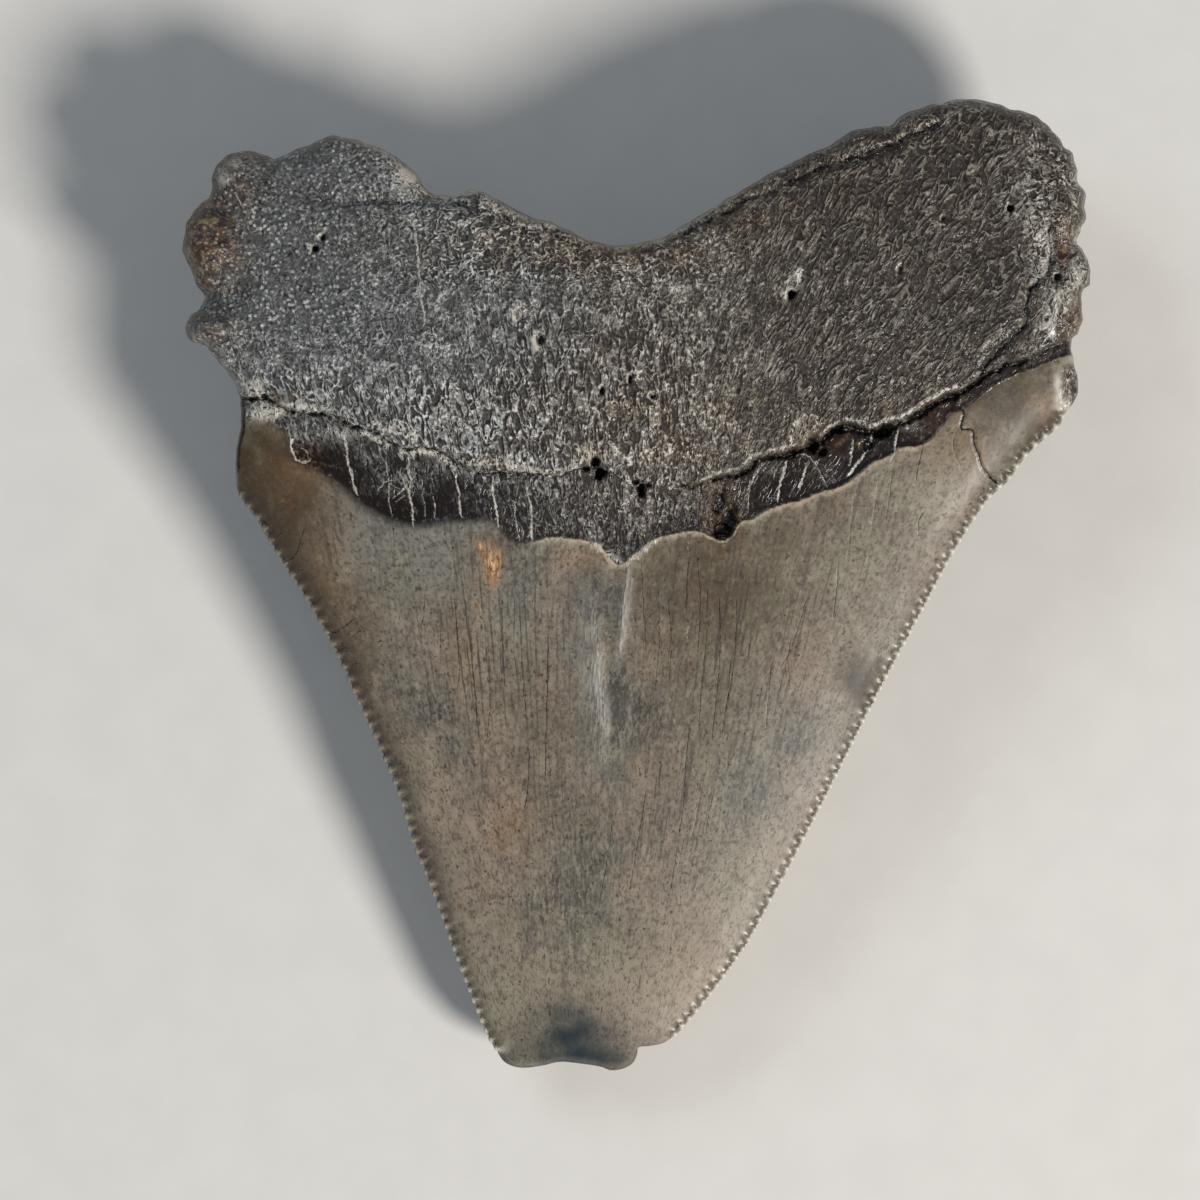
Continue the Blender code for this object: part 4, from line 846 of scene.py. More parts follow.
def labialHeight(x, y, detail=True):
    z = splineAt(y, labialProfile) - splineAt(y, labialFall) * acrossTooth(x, y) ** 2
    z += lumpsOf(x, y, crownDips)
    for fold in folds.values():        # steep to the right, gentle to the left
        away, side, share = foldAt(fold, x, y)
        swell = np.sin(math.pi * np.clip(share, 0.06, 0.94)) ** 0.6
        z += fold["height"] * swell * ridge(away, np.where(side > 0, fold["steep"], fold["gentle"]))

    # root over band over enamel
    lip = ledge.signed(x, y)
    overLip = ramp(lip, -0.22, 0.10)
    overEnamel = ramp(enamelEdge.signed(x, y), -0.05, 0.25)
    clear = ledgeShare(x)
    z += tooth["lipHeight"] * (overLip * clear + ramp(lip, -4.0, 3.0) * (1 - clear))
    z -= tooth["bandSink"] * overEnamel * (1 - overLip)
    gap = gapWidth(x)
    z -= clear * (tooth["lipGap"] + 0.9 * gap) * ridge(lip + 0.04 + gap, gap)

    # layers of the root, its split end, knobs and swellings, worn places
    for line, height in ((layerLeft, 0.30), (layerRight, 0.40)):
        away, _, _ = line.nearest(x, y)
        z -= height * ridge(away, 0.30) + 0.5 * height * ridge(away, 0.9)
    away, _, _ = split.nearest(x, y)
    z -= tooth["splitDepth"] * (ridge(away, 0.22) + ridge(away, 0.8) / 3)
    z += lumpsOf(x, y, rootLumps) + lumpsOf(x, y, wornPlaces)

    if detail:
        deep, _ = holeShape(x, y)
        z -= deep
        away, _, index = crackSearch.nearest(x, y)
        z -= crackDepth[index] * np.clip(1 - away / np.maximum(crackWidth[index], 0.03), 0, 1)
        bone = np.clip(overLip + (1 - overLip) * overEnamel * (0.25 + 0.6 * underLip(x, y, lip)), 0, 1)
        z += bone * rootRelief(x, y) * (1 + 1.8 * ridge(x + 34.5, 3.0))
        z += tooth["paleRimHeight"] * paleShape(x, y)
        grain = crownGrain(x, y, x * 0)
        ripples = unevenness(grain[:, 0] / 0.7, y / 9.0, 41) + 0.6 * unevenness(x / 1.5, y / 1.5, 42)
        z += (1 - bone) * tooth["enamelRoughness"] * ripples

    # rounded rim round the root, thin serrated rim on the cutting edges
    inside, root, broken, notch = rimAt(x, y)
    inside = np.maximum(inside, 0)
    z -= root * rimFall(inside, tooth["labialRimRadius"])
    z -= broken * rimFall(inside, tooth["breakRimRadius"])
    cutting = (1 - root) * (1 - broken)
    z += cutting * (0.07 * np.maximum(0, 1.8 - inside) ** 2 - 0.12 * ridge(inside, 0.22))
    shoulder = ramp(y, 2.0, 9.0) * (x > 20)
    reach = tooth["serrationReach"] * (1 + 1.1 * shoulder)
    z -= cutting * (0.20 + 0.10 * shoulder) * notch * np.exp(-(inside / reach) ** 1.5)
    return z


def rootFoot(x):   # where the root ends on the lingual side
    slope = 0.245 + 0.065 * np.tanh((x + 0.5) / 6)
    return 3.4 + slope * np.sqrt((x + 0.5) ** 2 + 9)


def lingualBorders(x):   # the uneven upper and lower border of the lingual band
    foot = rootFoot(x)
    upper = foot + 0.35 * unevenness(x / 1.7, 0, 31) + 0.18 * unevenness(x / 0.7, 0, 33)
    lower = foot - tooth["lingualBand"]
    lower = lower + 0.9 * unevenness(x / 6.5, 0, 35) + 0.25 * unevenness(x / 1.1, 0, 37)
    return upper, lower


def lingualHeight(x, y, labial):
    edge = splineAt(y, labialProfile) - splineAt(y, labialFall) - 0.35 - tooth["edgeThickness"]
    middle = splineAt(y, lingualProfile)
    crown = middle + (edge - middle) * np.minimum(np.abs(acrossTooth(x, y)), 1) ** 2.2

    # the root's bulge, with the hollow between its lobes
    root = 6.3 - 6.7 * bump(x, y, 0.0, 14.0, 18.0, 9.5)
    root += 1.2 * ramp(np.hypot(x, y - 8.0), 22.0, 42.0)
    root += 2.0 * bump(x, y, -1.0, 27.0, 7.0, 4.5)
    root += 1.2 * np.maximum(rootFoot(x) - y, 0)
    inside, rimRoot, broken, _ = rimAt(x, y)
    inside = np.maximum(inside, 0)
    root += rimFall(inside, tooth["lingualRimRadius"]) * np.maximum(rimRoot, ramp(y, 9.0, 13.0))
    crown += broken * rimFall(inside, tooth["breakRimRadius"])
    _, lower = lingualBorders(x)
    crown += 0.3 - 0.3 * ramp(lower - y, -0.3, 0.3)
    root -= lumpsOf(x, y, lingualLumps)
    for centreX, centreY, radius, depth in foramina:
        root += depth * bump(x, y, centreX, centreY, radius, radius)
    root += 0.5 * tooth["rootWaviness"] * (unevenness(x / 2.2, y / 2.2, 51) + unevenness(x / 1.1, y / 1.1, 52))

    blend = 0.7                        # how softly root and crown meet
    mix = np.clip(0.5 + 0.5 * (root - crown) / blend, 0, 1)
    z = root * (1 - mix) + crown * mix - blend * mix * (1 - mix)
    return np.minimum(np.maximum(z, 0.0), labial - tooth["minimumThickness"])


# points of the two sheets
def staggered(spacing, lowX, highX, lowY, highY):
    rows = np.arange(lowY, highY, spacing * math.sqrt(3) / 2)
    columns = np.arange(lowX, highX, spacing)
    i, j = np.meshgrid(np.arange(len(rows)), np.arange(len(columns)), indexing="ij")
    x = columns[j] + 0.5 * spacing * (i % 2) + 0.10 * spacing * ripple(7 * i + j, 3)
    y = rows[i] + 0.10 * spacing * ripple(5 * j + i, 9)
    return np.column_stack([x.ravel(), y.ravel()])


class pointStore:   # keeps points that aren't too close to those kept before
    def __init__(self, cell, rimPoints):
        self.cell = cell
        self.cells = {}
        self.points = []
        self.add(rimPoints, 0.0)
        self.first = len(self.points)

    def crowded(self, x, y, gap):
        cx, cy = int(x // self.cell), int(y // self.cell)
        return any((px - x) ** 2 + (py - y) ** 2 < gap * gap
                   for ox in (-1, 0, 1) for oy in (-1, 0, 1)
                   for px, py in self.cells.get((cx + ox, cy + oy), ()))

    def add(self, points, gap):
        for x, y in points.tolist():
            if not self.crowded(x, y, gap):
                self.cells.setdefault((int(x // self.cell), int(y // self.cell)), []).append((x, y))
                self.points.append((x, y))

    def inner(self):   # all but the rim's own points
        return np.array(self.points[self.first:])


def within(points, margin):   # only the points at least so far inside the outline
    inside, _, _, _ = rimAt(points[:, 0], points[:, 1])
    return points[inside > margin]


def cuttingPoints():   # the rim's points on the cutting edges
    return np.flatnonzero((rim.root < 0.6) & (rim.broken < 0.5))


def labialPoints():
    store = pointStore(0.4, rimTop)
    cut = cuttingPoints()
    for depth in (0.17, 0.36, 0.60, 0.90, 1.30):
        keep, gap = (cut, 0.085) if depth < 0.7 else (cut[::2], 0.14)
        store.add(within(rim.plain[keep] + rim.inward[keep] * depth, 0.10), gap)
    # cracks: their middle, their sides and a row outside
    for line, width, *_ in crackRows:
        aside = leftOf(np.gradient(line, axis=0))
        for share, step in ((0, 2), (1, 2), (-1, 2), (2.2, 6), (-2.2, 6)):
            pick = np.arange(0, len(line), step)
            offset = np.maximum(width[pick], 0.06) * share
            store.add(within(line[pick] + aside[pick] * offset[:, None], 0.2), 0.045)
    for search, offsets, step in (
            (ledge, (0.10, -0.05, -0.16, -0.30), 3), (enamelEdge, (-0.08, 0.08, 0.26), 3),
            (split, (0, 0.18, -0.18), 3), (layerRight, (0, 0.25, -0.25), 2),
            (layerLeft, (0, 0.25, -0.25), 2), (folds["right"]["search"], (-0.14, 0, 0.14, 0.32), 2)):
        for offset in offsets:
            store.add(within(search.line[::step] + search.aside[::step] * offset, 0.25), 0.10)
    # fine points in the ledge zone and round the holes
    grid = within(staggered(tooth["ledgeSpacing"], -32, 36, 3, 20), 0.3)
    near, _, _ = ledge.nearest(*grid.T)
    store.add(grid[near < 0.85], 0.6 * tooth["ledgeSpacing"])
    for centreU, centreV, halfU, halfV, _, _ in holes:
        (x, y), = onTooth([(centreU, centreV)])
        reachX, reachY = 1.4 * drawingStep * halfU + 0.1, 1.4 * drawingStep * halfV + 0.1
        patch = staggered(tooth["holeSpacing"], x - reachX, x + reachX, y - reachY, y + reachY)
        store.add(within(patch, 0.3), 0.08)
    # the root, then the crown
    grid = within(staggered(tooth["rootSpacing"], -37, 37, 3, 40), 0.32 + tooth["rootInset"])
    store.add(grid[(ledge.signed(*grid.T) > 0) | (enamelEdge.signed(*grid.T) > 0.1)],
              0.6 * tooth["rootSpacing"])
    grid = within(staggered(tooth["crownSpacing"], -37, 37, -40, 20), 0.45)
    store.add(grid[enamelEdge.signed(*grid.T) < -0.15], 0.6 * tooth["crownSpacing"])
    return store.inner()


def lingualPoints():
    store = pointStore(0.8, rimBottom)
    cut = cuttingPoints()
    for depth, step in ((0.22, 2), (0.5, 3), (0.9, 4)):
        store.add(within(rim.plain[cut[::step]] + rim.inward[cut[::step]] * depth, 0.12), 0.12)
    for centreX, centreY, radius, _ in foramina:
        store.add(staggered(tooth["foramenSpacing"], centreX - 2 * radius, centreX + 2 * radius,
                            centreY - 2 * radius, centreY + 2 * radius), 0.15)
    places = np.arange(-36.0, 36.5, 0.3)
    for border in lingualBorders(places):
        for offset in (-0.25, 0.0, 0.25):
            store.add(within(np.column_stack([places, border + offset]), 0.5), 0.18)
    edge = rim.points + rim.inward * (tooth["rootInset"] + 0.35)
    store.add(within(edge[rim.root > 0.5], 0.4), 0.2)
    grid = within(staggered(tooth["lingualSpacing"], -37, 37, -40, 40), 0.75)
    store.add(grid, 0.6 * tooth["lingualSpacing"])
    return store.inner()


def sheetOver(loop, inner):   # triangles over a closed loop and the points inside it
    points = [Vector(p) for p in np.vstack([loop, inner])]
    flat, _, faces, origin, _, _ = delaunay_2d_cdt(points, [], [list(range(len(loop)))], 1, 1e-7)
    if len(flat) != len(points):
        raise ValueError("the sheet's points fell together")
    names = np.array([group[0] for group in origin])
    triangles = names[np.array(faces)]
    a, b, c = (np.array(points)[triangles[:, k]] for k in range(3))
    area = (b[:, 0] - a[:, 0]) * (c[:, 1] - a[:, 1]) - (b[:, 1] - a[:, 1]) * (c[:, 0] - a[:, 0])
    flip = area < 0
    triangles[flip] = triangles[flip][:, ::-1]
    return triangles


# the sheets' own edges: drawn in round the root, nearly on the outline elsewhere
inset = tooth["rootInset"] * rim.root + tooth["edgeInset"] * (1 - rim.root)
rimTop = rim.points + rim.inward * inset[:, None]
topZ = labialHeight(*rimTop.T, detail=False)
under = lingualHeight(*rimTop.T, topZ)
thick = ramp(topZ - under, 0.8, 1.6)[:, None]
beadShift = (rim.plain - rim.points) * thick       # serrations don't cut through a thick rim
rimBottom = rimTop + beadShift

upper = labialPoints()
lower = lingualPoints()
upperFaces = sheetOver(rimTop, upper)
lowerFaces = sheetOver(rimBottom, lower)
print("sheets laid out:", len(upperFaces), "labial and", len(lowerFaces), "lingual triangles")

count = len(rim.points)
topXY = np.vstack([rimTop, upper])
bottomXY = np.vstack([rimBottom, lower])
topZ = labialHeight(*topXY.T)
bottomZ = lingualHeight(*bottomXY.T, labialHeight(*bottomXY.T, detail=False))
bottomZ[:count] = np.minimum(bottomZ[:count], topZ[:count] - 0.2)

# the rim between the sheets, bulging round the root and hollow at the break
rows = []
for k in range(1, tooth["rimStrips"]):
    share = k / tooth["rimStrips"]
    curve = abs(2 * share - 1) ** 2.2
    pull = inset * curve + tooth["breakHollow"] * rim.broken * math.sin(math.pi * share)
    rough = 0.10 * unevenness(np.arange(count) * 0.21, 3.1 * share, 61) * rim.root
    place = rim.points + rim.inward * (pull + rough)[:, None] + beadShift * min(1, 1.6 * share)
    height = topZ[:count] * (1 - share) + bottomZ[:count] * share
    rows.append(np.column_stack([place, height]))

verts = np.vstack([np.column_stack([topXY, topZ])] + rows + [np.column_stack([bottomXY, bottomZ])])
rowStart = [0] + [len(topXY) + k * count for k in range(len(rows))] + [len(topXY) + len(rows) * count]
i = np.arange(count)
j = (i + 1) % count
bands = []
for high, low in zip(rowStart[:-1], rowStart[1:]):
    bands.append(np.column_stack([high + i, low + i, low + j]))
    bands.append(np.column_stack([high + i, low + j, high + j]))
faces = np.vstack([upperFaces] + bands + [rowStart[-1] + lowerFaces[:, ::-1]])


def linked(name, data):   # an object of the scene
    made = bpy.data.objects.new(name, data)
    bpy.context.scene.collection.objects.link(made)
    return made


fossilMesh = bpy.data.meshes.new("toothFossil")
fossilMesh.from_pydata((verts * mm).tolist(), [], faces.tolist())
fossilMesh.shade_smooth()
fossil = linked("toothFossil", fossilMesh)
print("tooth meshed:", len(faces), "triangles")

# masks that the finish reads: one number a vertex each
x, y, z = verts.T
isTop = np.arange(len(verts)) < len(topXY)
isBottom = np.arange(len(verts)) >= rowStart[-1]
strip = np.zeros(len(verts))      # 0 on the labial sheet, 1 on the lingual one
for k, begin in enumerate(rowStart[1:-1], 1):
    strip[begin:begin + count] = k / tooth["rimStrips"]
strip[isBottom] = 1
face = np.clip(1 - 1.8 * strip, 0, 1)
inside, rootRim, brokenRim, notchRim = rimAt(x, y)
inward = np.maximum(inside, 0)
stain = {name: spots(x, y, rows, 0.35, 2.0, 3 + 5 * k) for k, (name, rows) in enumerate(stains.items())}

# root, band and enamel on the labial side
lip = ledge.signed(x, y)
top = enamelEdge.signed(x, y)
overLip = ramp(lip, -0.12, 0.04)
softSide = 1 - ramp(x, -9.5, -7.0)                    # the band fades out softly on the left
fade = -0.35 - 0.55 * (1 - ramp(x, -14.5, -11.5))
overEnamel = ramp(top, -0.05, 0.08) * (1 - softSide) + ramp(top, fade, 0.5 + 0.4 * fade) * softSide
bone = overLip + (1 - overLip) * overEnamel * underLip(x, y, lip)
bone = np.maximum(bone, np.minimum(1, spots(x, y, shoulderFacet, 0.15, 4.0, 91)))
band = (1 - overLip) * overEnamel

# the same on the lingual side
lingualUpper, lingualLower = lingualBorders(x)
lingualBone = ramp(y - lingualUpper, -0.2, 0.2)
lingualBand = (1 - lingualBone) * ramp(y - lingualLower, -0.2, 0.2)
patches = ramp(unevenness(x / 2.4, y / 1.3, 39) + 0.5 * unevenness(x / 0.8, y / 0.6, 40), 0.10, 0.50)
lingualBone = np.maximum(lingualBone, 0.65 * lingualBand * patches)
lingualSide = ramp(strip, 0.35, 0.65)
bone = bone * (1 - lingualSide) + lingualBone * lingualSide
band = band * (1 - lingualSide) + lingualBand * lingualSide
lingualLip = 0.7 * np.clip(0.4 + unevenness(x / 1.3, y / 1.3, 41), 0, 1)
lingualLip = lingualLip * lingualSide * ridge(y - lingualLower + 0.25, 0.15)

# open and filled cracks, with painted shade in holes and gaps
_, holeShade = holeShape(x, y)
crackAway, _, crackIndex = crackSearch.nearest(x, y)
crackMask = np.clip(1.25 - crackAway / np.maximum(crackWidth[crackIndex], 0.05), 0, 1)
crackDark = crackMask * (1 - crackPale[crackIndex]) * crackShade[crackIndex]
gap = gapWidth(x)
# painted shade in the gap under the root's overhanging lip
gapShade = ledgeShare(x) * ridge(lip + 0.03 + gap, 1.15 * gap)
gapShade = gapShade * np.clip(0.85 + 0.9 * unevenness(x / 0.45, y / 0.45, 25), 0.2, 1)
layerGap = np.zeros(len(x))
broken = np.clip(0.75 + 0.9 * unevenness(x / 1.1, y / 1.1, 23), 0.1, 1)
for search, strength, reach in ((layerLeft, 0.6, 0.14), (layerRight, 0.85, 0.16), (split, 0.9, 0.15)):
    away, _, _ = search.nearest(x, y)
    layerGap = np.maximum(layerGap, strength * broken * ridge(away, reach))
dark = np.maximum.reduce([holeShade, crackDark, gapShade, layerGap]) * face
recess = rootRim * ridge(inside - 1.0, 0.30) * ramp(y, 24.5, 27.0) * ramp(x, -20, -15)
recess = recess * np.clip(0.5 + 1.3 * unevenness(x / 0.9, y / 0.9, 28), 0, 1) * (1 - ramp(x, 6.0, 12.0))
# darker along the left shoulder's rim
leftShoulderRimDark = np.exp(-(inward / 0.55) ** 4) * ramp(y, 8.5, 9.5) * (1 - ramp(y, 15.0, 15.6)) * (x < -25)

# pale rims, painted highlights along the folds, and the enamel's upper margin
marginRim = rootRim * ridge(inside - 0.20, 0.24) * ramp(y, 24.5, 27.0) * ramp(x, -24, -19)
crumbling = 0.9 + 0.9 * unevenness(x / 0.8, y / 0.8, 26) + 0.7 * unevenness(x / 0.3, y / 0.3, 29)
marginRim = marginRim * np.clip(crumbling, 0, 1) * (1 - 0.6 * ramp(x, 4.0, 12.0))
enamelLip = (1 - softSide) * ridge(top + 0.07, 0.07) * (1 - ramp(x, 22.0, 25.0))
foldHighlight = np.zeros(len(x))
for fold in folds.values():
    away, side, share = foldAt(fold, x, y)
    run = np.sin(math.pi * np.clip(share, 0.02, 0.98)) ** 0.5
    low, high = fold["highlightReach"]
    foldHighlight = np.maximum(foldHighlight, fold["pale"] * run * ridge(away, np.where(side > 0, low, high)))
halo = np.exp(-np.maximum(-top, 0) / 2.2) * ramp(x, -26, -21) * (1 - ramp(x, -9, -6)) * (top < 0)

# serrations: painted highlights on the beads, brightest on the lit right side, and painted shade in the
# notches, reaching further on the left
cuttingEdge = (1 - rootRim) * (1 - brokenRim)
rightSide = ramp(x - 0.35 * y, -8.0, 2.0)
beadHighlight = ridge(inward, 0.40 + 0.22 * rightSide) * ramp(1 - notchRim, 0.35, 0.95)
beadHighlight = beadHighlight * np.clip(1 - 3.5 * strip, 0, 1)
# painted shade in the serration grooves, deeper on the left side away from the light
notch = cuttingEdge * (1 - 0.3 * rightSide) * ridge(inward, 1.25 - 0.65 * rightSide) * notchRim ** 1.5
shoulderHighlight = spots(x, y, shoulderHighlightSpots, 0.1, 2.0, 93)

# how the root's grain changes from place to place
bandDim = band * (0.25 + 0.40 * ramp(x, 3.0, 7.0))
middle = 0.34 * bump(x, y, -8.0, 21.0, 9.0, 7.0) + 0.12 * bump(x, y, 2.0, 14.0, 8.0, 5.0)
contrast = 1 - middle - 0.42 * ramp(x, 6.0, 18.0) + 0.18 * ramp(x + y, 50.0, 60.0)

masks = {
    "bone": bone,
    "band": band,
    # cracks' dark colour, with painted shade in holes and in the gap under the lip
    "dark": np.maximum(dark, np.maximum(0.8 * leftShoulderRimDark, 0.6 * recess) * isTop),
    "mineral": crackMask * crackPale[crackIndex] * isTop,
    "enamelLip": np.maximum(enamelLip * face, lingualLip),
    "chipsAndPitHighlights": np.maximum.reduce([stain["chipsAndPitHighlights"], paleShape(x, y), pitWallHighlight(x, y), marginRim]) * face,
    "fold": foldHighlight * face,
    "halo": 0.9 * halo * face,
    "blue": stain["blue"] * np.where(isTop, 1.0, 0.5),
    "tan": np.maximum(stain["tan"], 0.6 * rootRim * np.exp(-inward / 0.8)),
    "rust": stain["rust"] * np.where(isBottom, 0.0, 1.0),
    # painted highlights on the serration beads and on the shoulder's crescent
    "edge": np.maximum(cuttingEdge * (0.30 + 0.70 * rightSide) * beadHighlight, shoulderHighlight * (1 - bone) * face),
    "notch": notch,
    "rightShare": ramp(x, 2.0, 13.0) * (1 - ramp(x, 29.5, 32.0)),
    "warmShare": ramp(x, -14.0, 10.0),
    "drawnShare": np.maximum(ramp(x, -20, -9) * (1 - ramp(y, 21.5, 25.0)), 1 - ramp(y, 15.5, 19.5)),
    "contrast": contrast * (1 - bandDim),
    "pearly": (1 - ramp(x, -26.0, -12.0)) * ramp(y, 16.0, 22.0),
}
for name in ("tip", "brownAndSideShade", "light"):
    masks[name] = stain[name]
for name in ("blueSheen", "orange", "glossAndGlint", "lined", "sootAndFoldShade", "mist"):
    masks[name] = stain[name] * face
for name, values in masks.items():
    masks[name] = np.clip(values, 0, 1).astype(np.float32)
    fossilMesh.attributes.new(name, "FLOAT", "POINT").data.foreach_set("value", masks[name])

leftGrain, rightGrain = boneGrain(x, y, z)
grains = {"leftGrain": leftGrain, "rightGrain": rightGrain, "crownGrain": crownGrain(x, y, z), "place": verts}
for name, values in grains.items():
    grain = fossilMesh.attributes.new(name, "FLOAT_VECTOR", "POINT")
    grain.data.foreach_set("vector", values.astype(np.float32).ravel())
print("masks painted")

# finish of the fossil: linear colours
finish = {
    "enamelGreen": (0.236, 0.224, 0.168),
    "enamelPink": (0.288, 0.226, 0.176),
    "enamelDeep": (0.150, 0.126, 0.098),
    "enamelWarm": (0.215, 0.172, 0.128),
    "enamelBrownAndShade": (0.064, 0.042, 0.020),
    "enamelLight": (0.330, 0.288, 0.225),
    "enamelHalo": (0.165, 0.178, 0.176),
    "enamelMist": (0.208, 0.212, 0.200),
    "notchShade": (0.040, 0.034, 0.030),
    "enamelBlue": (0.134, 0.136, 0.124),
    "enamelHair": (0.062, 0.050, 0.042),
    "enamelDark": (0.045, 0.034, 0.026),
    "enamelSoot": (0.046, 0.044, 0.041),
    "enamelDot": (0.085, 0.068, 0.052),
    "foldHighlight": (0.450, 0.440, 0.420),
    "lipPale": (0.520, 0.430, 0.330),
    "edgeHighlight": (0.620, 0.590, 0.510),
    "tipBlue": (0.020, 0.031, 0.040),
    "orange": (0.330, 0.185, 0.085),
    "flame": (0.600, 0.340, 0.160),
    "flameDark": (0.300, 0.170, 0.085),
    "flamePale": (0.760, 0.590, 0.390),
    "rust": (0.094, 0.044, 0.020),
    "rustDark": (0.024, 0.011, 0.007),
    "ochre": (0.320, 0.225, 0.118),
    "groundLeft": (0.050, 0.047, 0.046),
    "groundRight": (0.050, 0.039, 0.033),
    "rootDarkAndShadow": (0.011, 0.009, 0.008),
    "rootBlueSheen": (0.092, 0.100, 0.108),
    "ridgeLeft": (0.410, 0.425, 0.425),
    "ridgeRight": (0.260, 0.232, 0.192),
    "ridgeTan": (0.380, 0.280, 0.180),
    "ridgeGlint": (0.760, 0.760, 0.730),
    "bandColour": (0.009, 0.006, 0.006),
    "gap": (0.006, 0.004, 0.003),
    "mineral": (0.540, 0.520, 0.480),
    "mineralDull": (0.300, 0.275, 0.240),
    "chipPale": (0.620, 0.600, 0.540),
    "rootRoughness": 0.31,
    "enamelRoughness": 0.33,
    "bandRoughness": 0.26,
    "glossRoughness": 0.20,
    "gapRoughness": 0.30,
    "roughnessChange": 0.3,        # how much the specks shift it
    "specular": 0.42,
    "grainBump": 0.20,             # millimetres
    "ridgeShadow": 0.13,           # how far off a ridge's shadow lies, millimetres
    "faint": 0.003,                # a mask this weak doesn't show
    # the flame's parts: centre, half width and height in millimetres, lean in radians
    "flames": [((-11.5, 1.7), (0.60, 1.6), 0.1), ((-11.0, 1.8), (0.42, 1.2), -0.15),
               ((-12.3, 3.0), (0.32, 0.7), 0.3), ((-12.5, -1.6), (0.10, 0.5), 0.4)],
    # ridges of bone: coordinates, turns in a millimetre, where a ridge is full and where it ends
    "ridges": {
        "even": ("leftGrain", (1.7, 1.4, 1.5), 0.02, 0.11),
        "drawn": ("leftGrain", (1.55, 0.66, 1.4), 0.02, 0.105),
        "leaning": ("rightGrain", (1.40, 0.44, 1.2), 0.013, 0.080),
    },
    # noises: coordinates, turns in a millimetre, detail, roughness and, if any, shift
    "noises": {
        "coarse": ("place", (0.30, 0.30, 0.30), 2.0, 0.5),
        "lumps": ("leftGrain", (0.9, 0.6, 0.8), 2.0, 0.6),
        "speck": ("place", (3.6, 3.6, 3.6), 1.5, 0.6),
        "pore": ("place", (2.0, 1.6, 2.0), 1.5, 0.5),
        "rust": ("place", (1.3, 1.3, 1.3), 2.0, 0.65),
        "cloud": ("place", (0.30, 0.20, 0.30), 2.0, 0.6),
        "hue": ("place", (0.13, 0.10, 0.13), 2.0, 0.6),
        "smear": ("crownGrain", (0.9, 0.45, 1.1), 2.0, 0.6),
        "mottle": ("place", (1.7, 1.3, 1.7), 2.0, 0.7),
        "wisps": ("crownGrain", (2.8, 1.1, 2.6), 2.0, 0.68),
        "strands": ("crownGrain", (4.2, 0.9, 3.0), 2.0, 0.6),
        "flakes": ("crownGrain", (3.4, 2.6, 3.0), 2.0, 0.7),
        "crumbs": ("crownGrain", (2.3, 1.5, 2.0), 2.0, 0.7, (5.0, 3.0, 0.0)),
        "ticks": ("crownGrain", (3.2, 0.8, 2.0), 2.0, 0.6),
        "streaks": ("crownGrain", (6.0, 0.7, 3.0), 2.0, 0.7),
        "flecks": ("leftGrain", (3.2, 2.4, 3.0), 2.0, 0.6),
        "ragged": ("place", (5.0, 3.4, 5.0), 2.0, 0.6),
    },
}


class nodeTable:   # short calls for building a material's nodes
    def __init__(self, material):
        material.use_nodes = True
        self.tree = material.node_tree
        self.shader = self.tree.nodes["Principled BSDF"]

    def put(self, socket, value):
        if isinstance(value, bpy.types.NodeSocket):
            self.tree.links.new(value, socket)
        elif isinstance(value, tuple) and len(value) == 3 and socket.type == "RGBA":
            socket.default_value = (*value, 1.0)
        else:
            socket.default_value = value

    def node(self, kind, output, inputs, **settings):   # one node; an output of None gives them all
        node = self.tree.nodes.new("ShaderNode" + kind)
        for name, value in settings.items():
            setattr(node, name, value)
        for name, value in inputs.items():
            self.put(node.inputs[name], value)
        return node.outputs if output is None else node.outputs[output]

    def mask(self, name):
        return self.node("Attribute", "Fac", {}, attribute_name=name)

    def grain(self, name, stretch, shift=(0.0, 0.0, 0.0)):
        vector = self.node("Attribute", "Vector", {}, attribute_name=name)
        return self.node("VectorMath", 0, {0: vector, 1: stretch, 2: shift}, operation="MULTIPLY_ADD")

    def noise(self, vector, detail=2.0, rough=0.5, distortion=0.0):
        return self.node("TexNoise", "Fac", {"Vector": vector, "Scale": 1.0, "Detail": detail,
                                             "Roughness": rough, "Distortion": distortion})

    def named(self, name):   # one of the finish's noises
        grain, stretch, detail, rough, *shift = finish["noises"][name]
        return self.noise(self.grain(grain, stretch, *shift), detail, rough)

    def cells(self, vector):
        return self.node("TexVoronoi", "Distance", {"Vector": vector, "Scale": 1.0})

    def math(self, kind, a, b=0.0):
        return self.node("Math", 0, {0: a, 1: b}, operation=kind)

    def times(self, first, *others):
        for other in others:
            first = self.math("MULTIPLY", first, other)
        return first

    def plus(self, a, b):
        return self.math("ADD", a, b)

    def minus(self, a, b):
        return self.math("SUBTRACT", a, b)

    def most(self, a, b):
        return self.math("MAXIMUM", a, b)

    def less(self, mask, share):   # 1 where the mask is bare, down to 1 - share where it is full
        return self.minus(1.0, self.times(mask, share))

    def step(self, value, low, high, toLow=0.0, toHigh=1.0):
        return self.node("MapRange", "Result", {
            "From Min": low, "From Max": high, "To Min": toLow, "To Max": toHigh, "Value": value,
        }, interpolation_type="SMOOTHSTEP")

    def mix(self, share, a, b):
        return self.node("Mix", 2, {0: share, 6: a, 7: b}, data_type="RGBA")

    def blend(self, share, a, b):
        return self.node("Mix", 0, {0: share, 2: a, 3: b}, data_type="FLOAT")

    def reach(self, centre, half, lean):   # 1 on the edge of an oval round a place in mm
        place = self.node("Attribute", "Vector", {}, attribute_name="place")
        turned = self.node("Mapping", 0, {
            "Vector": place, "Location": (*centre, 0.0), "Rotation": (0.0, 0.0, lean), "Scale": (*half, 1e4),
        }, vector_type="TEXTURE")
        return self.node("VectorMath", "Value", {0: turned}, operation="LENGTH")


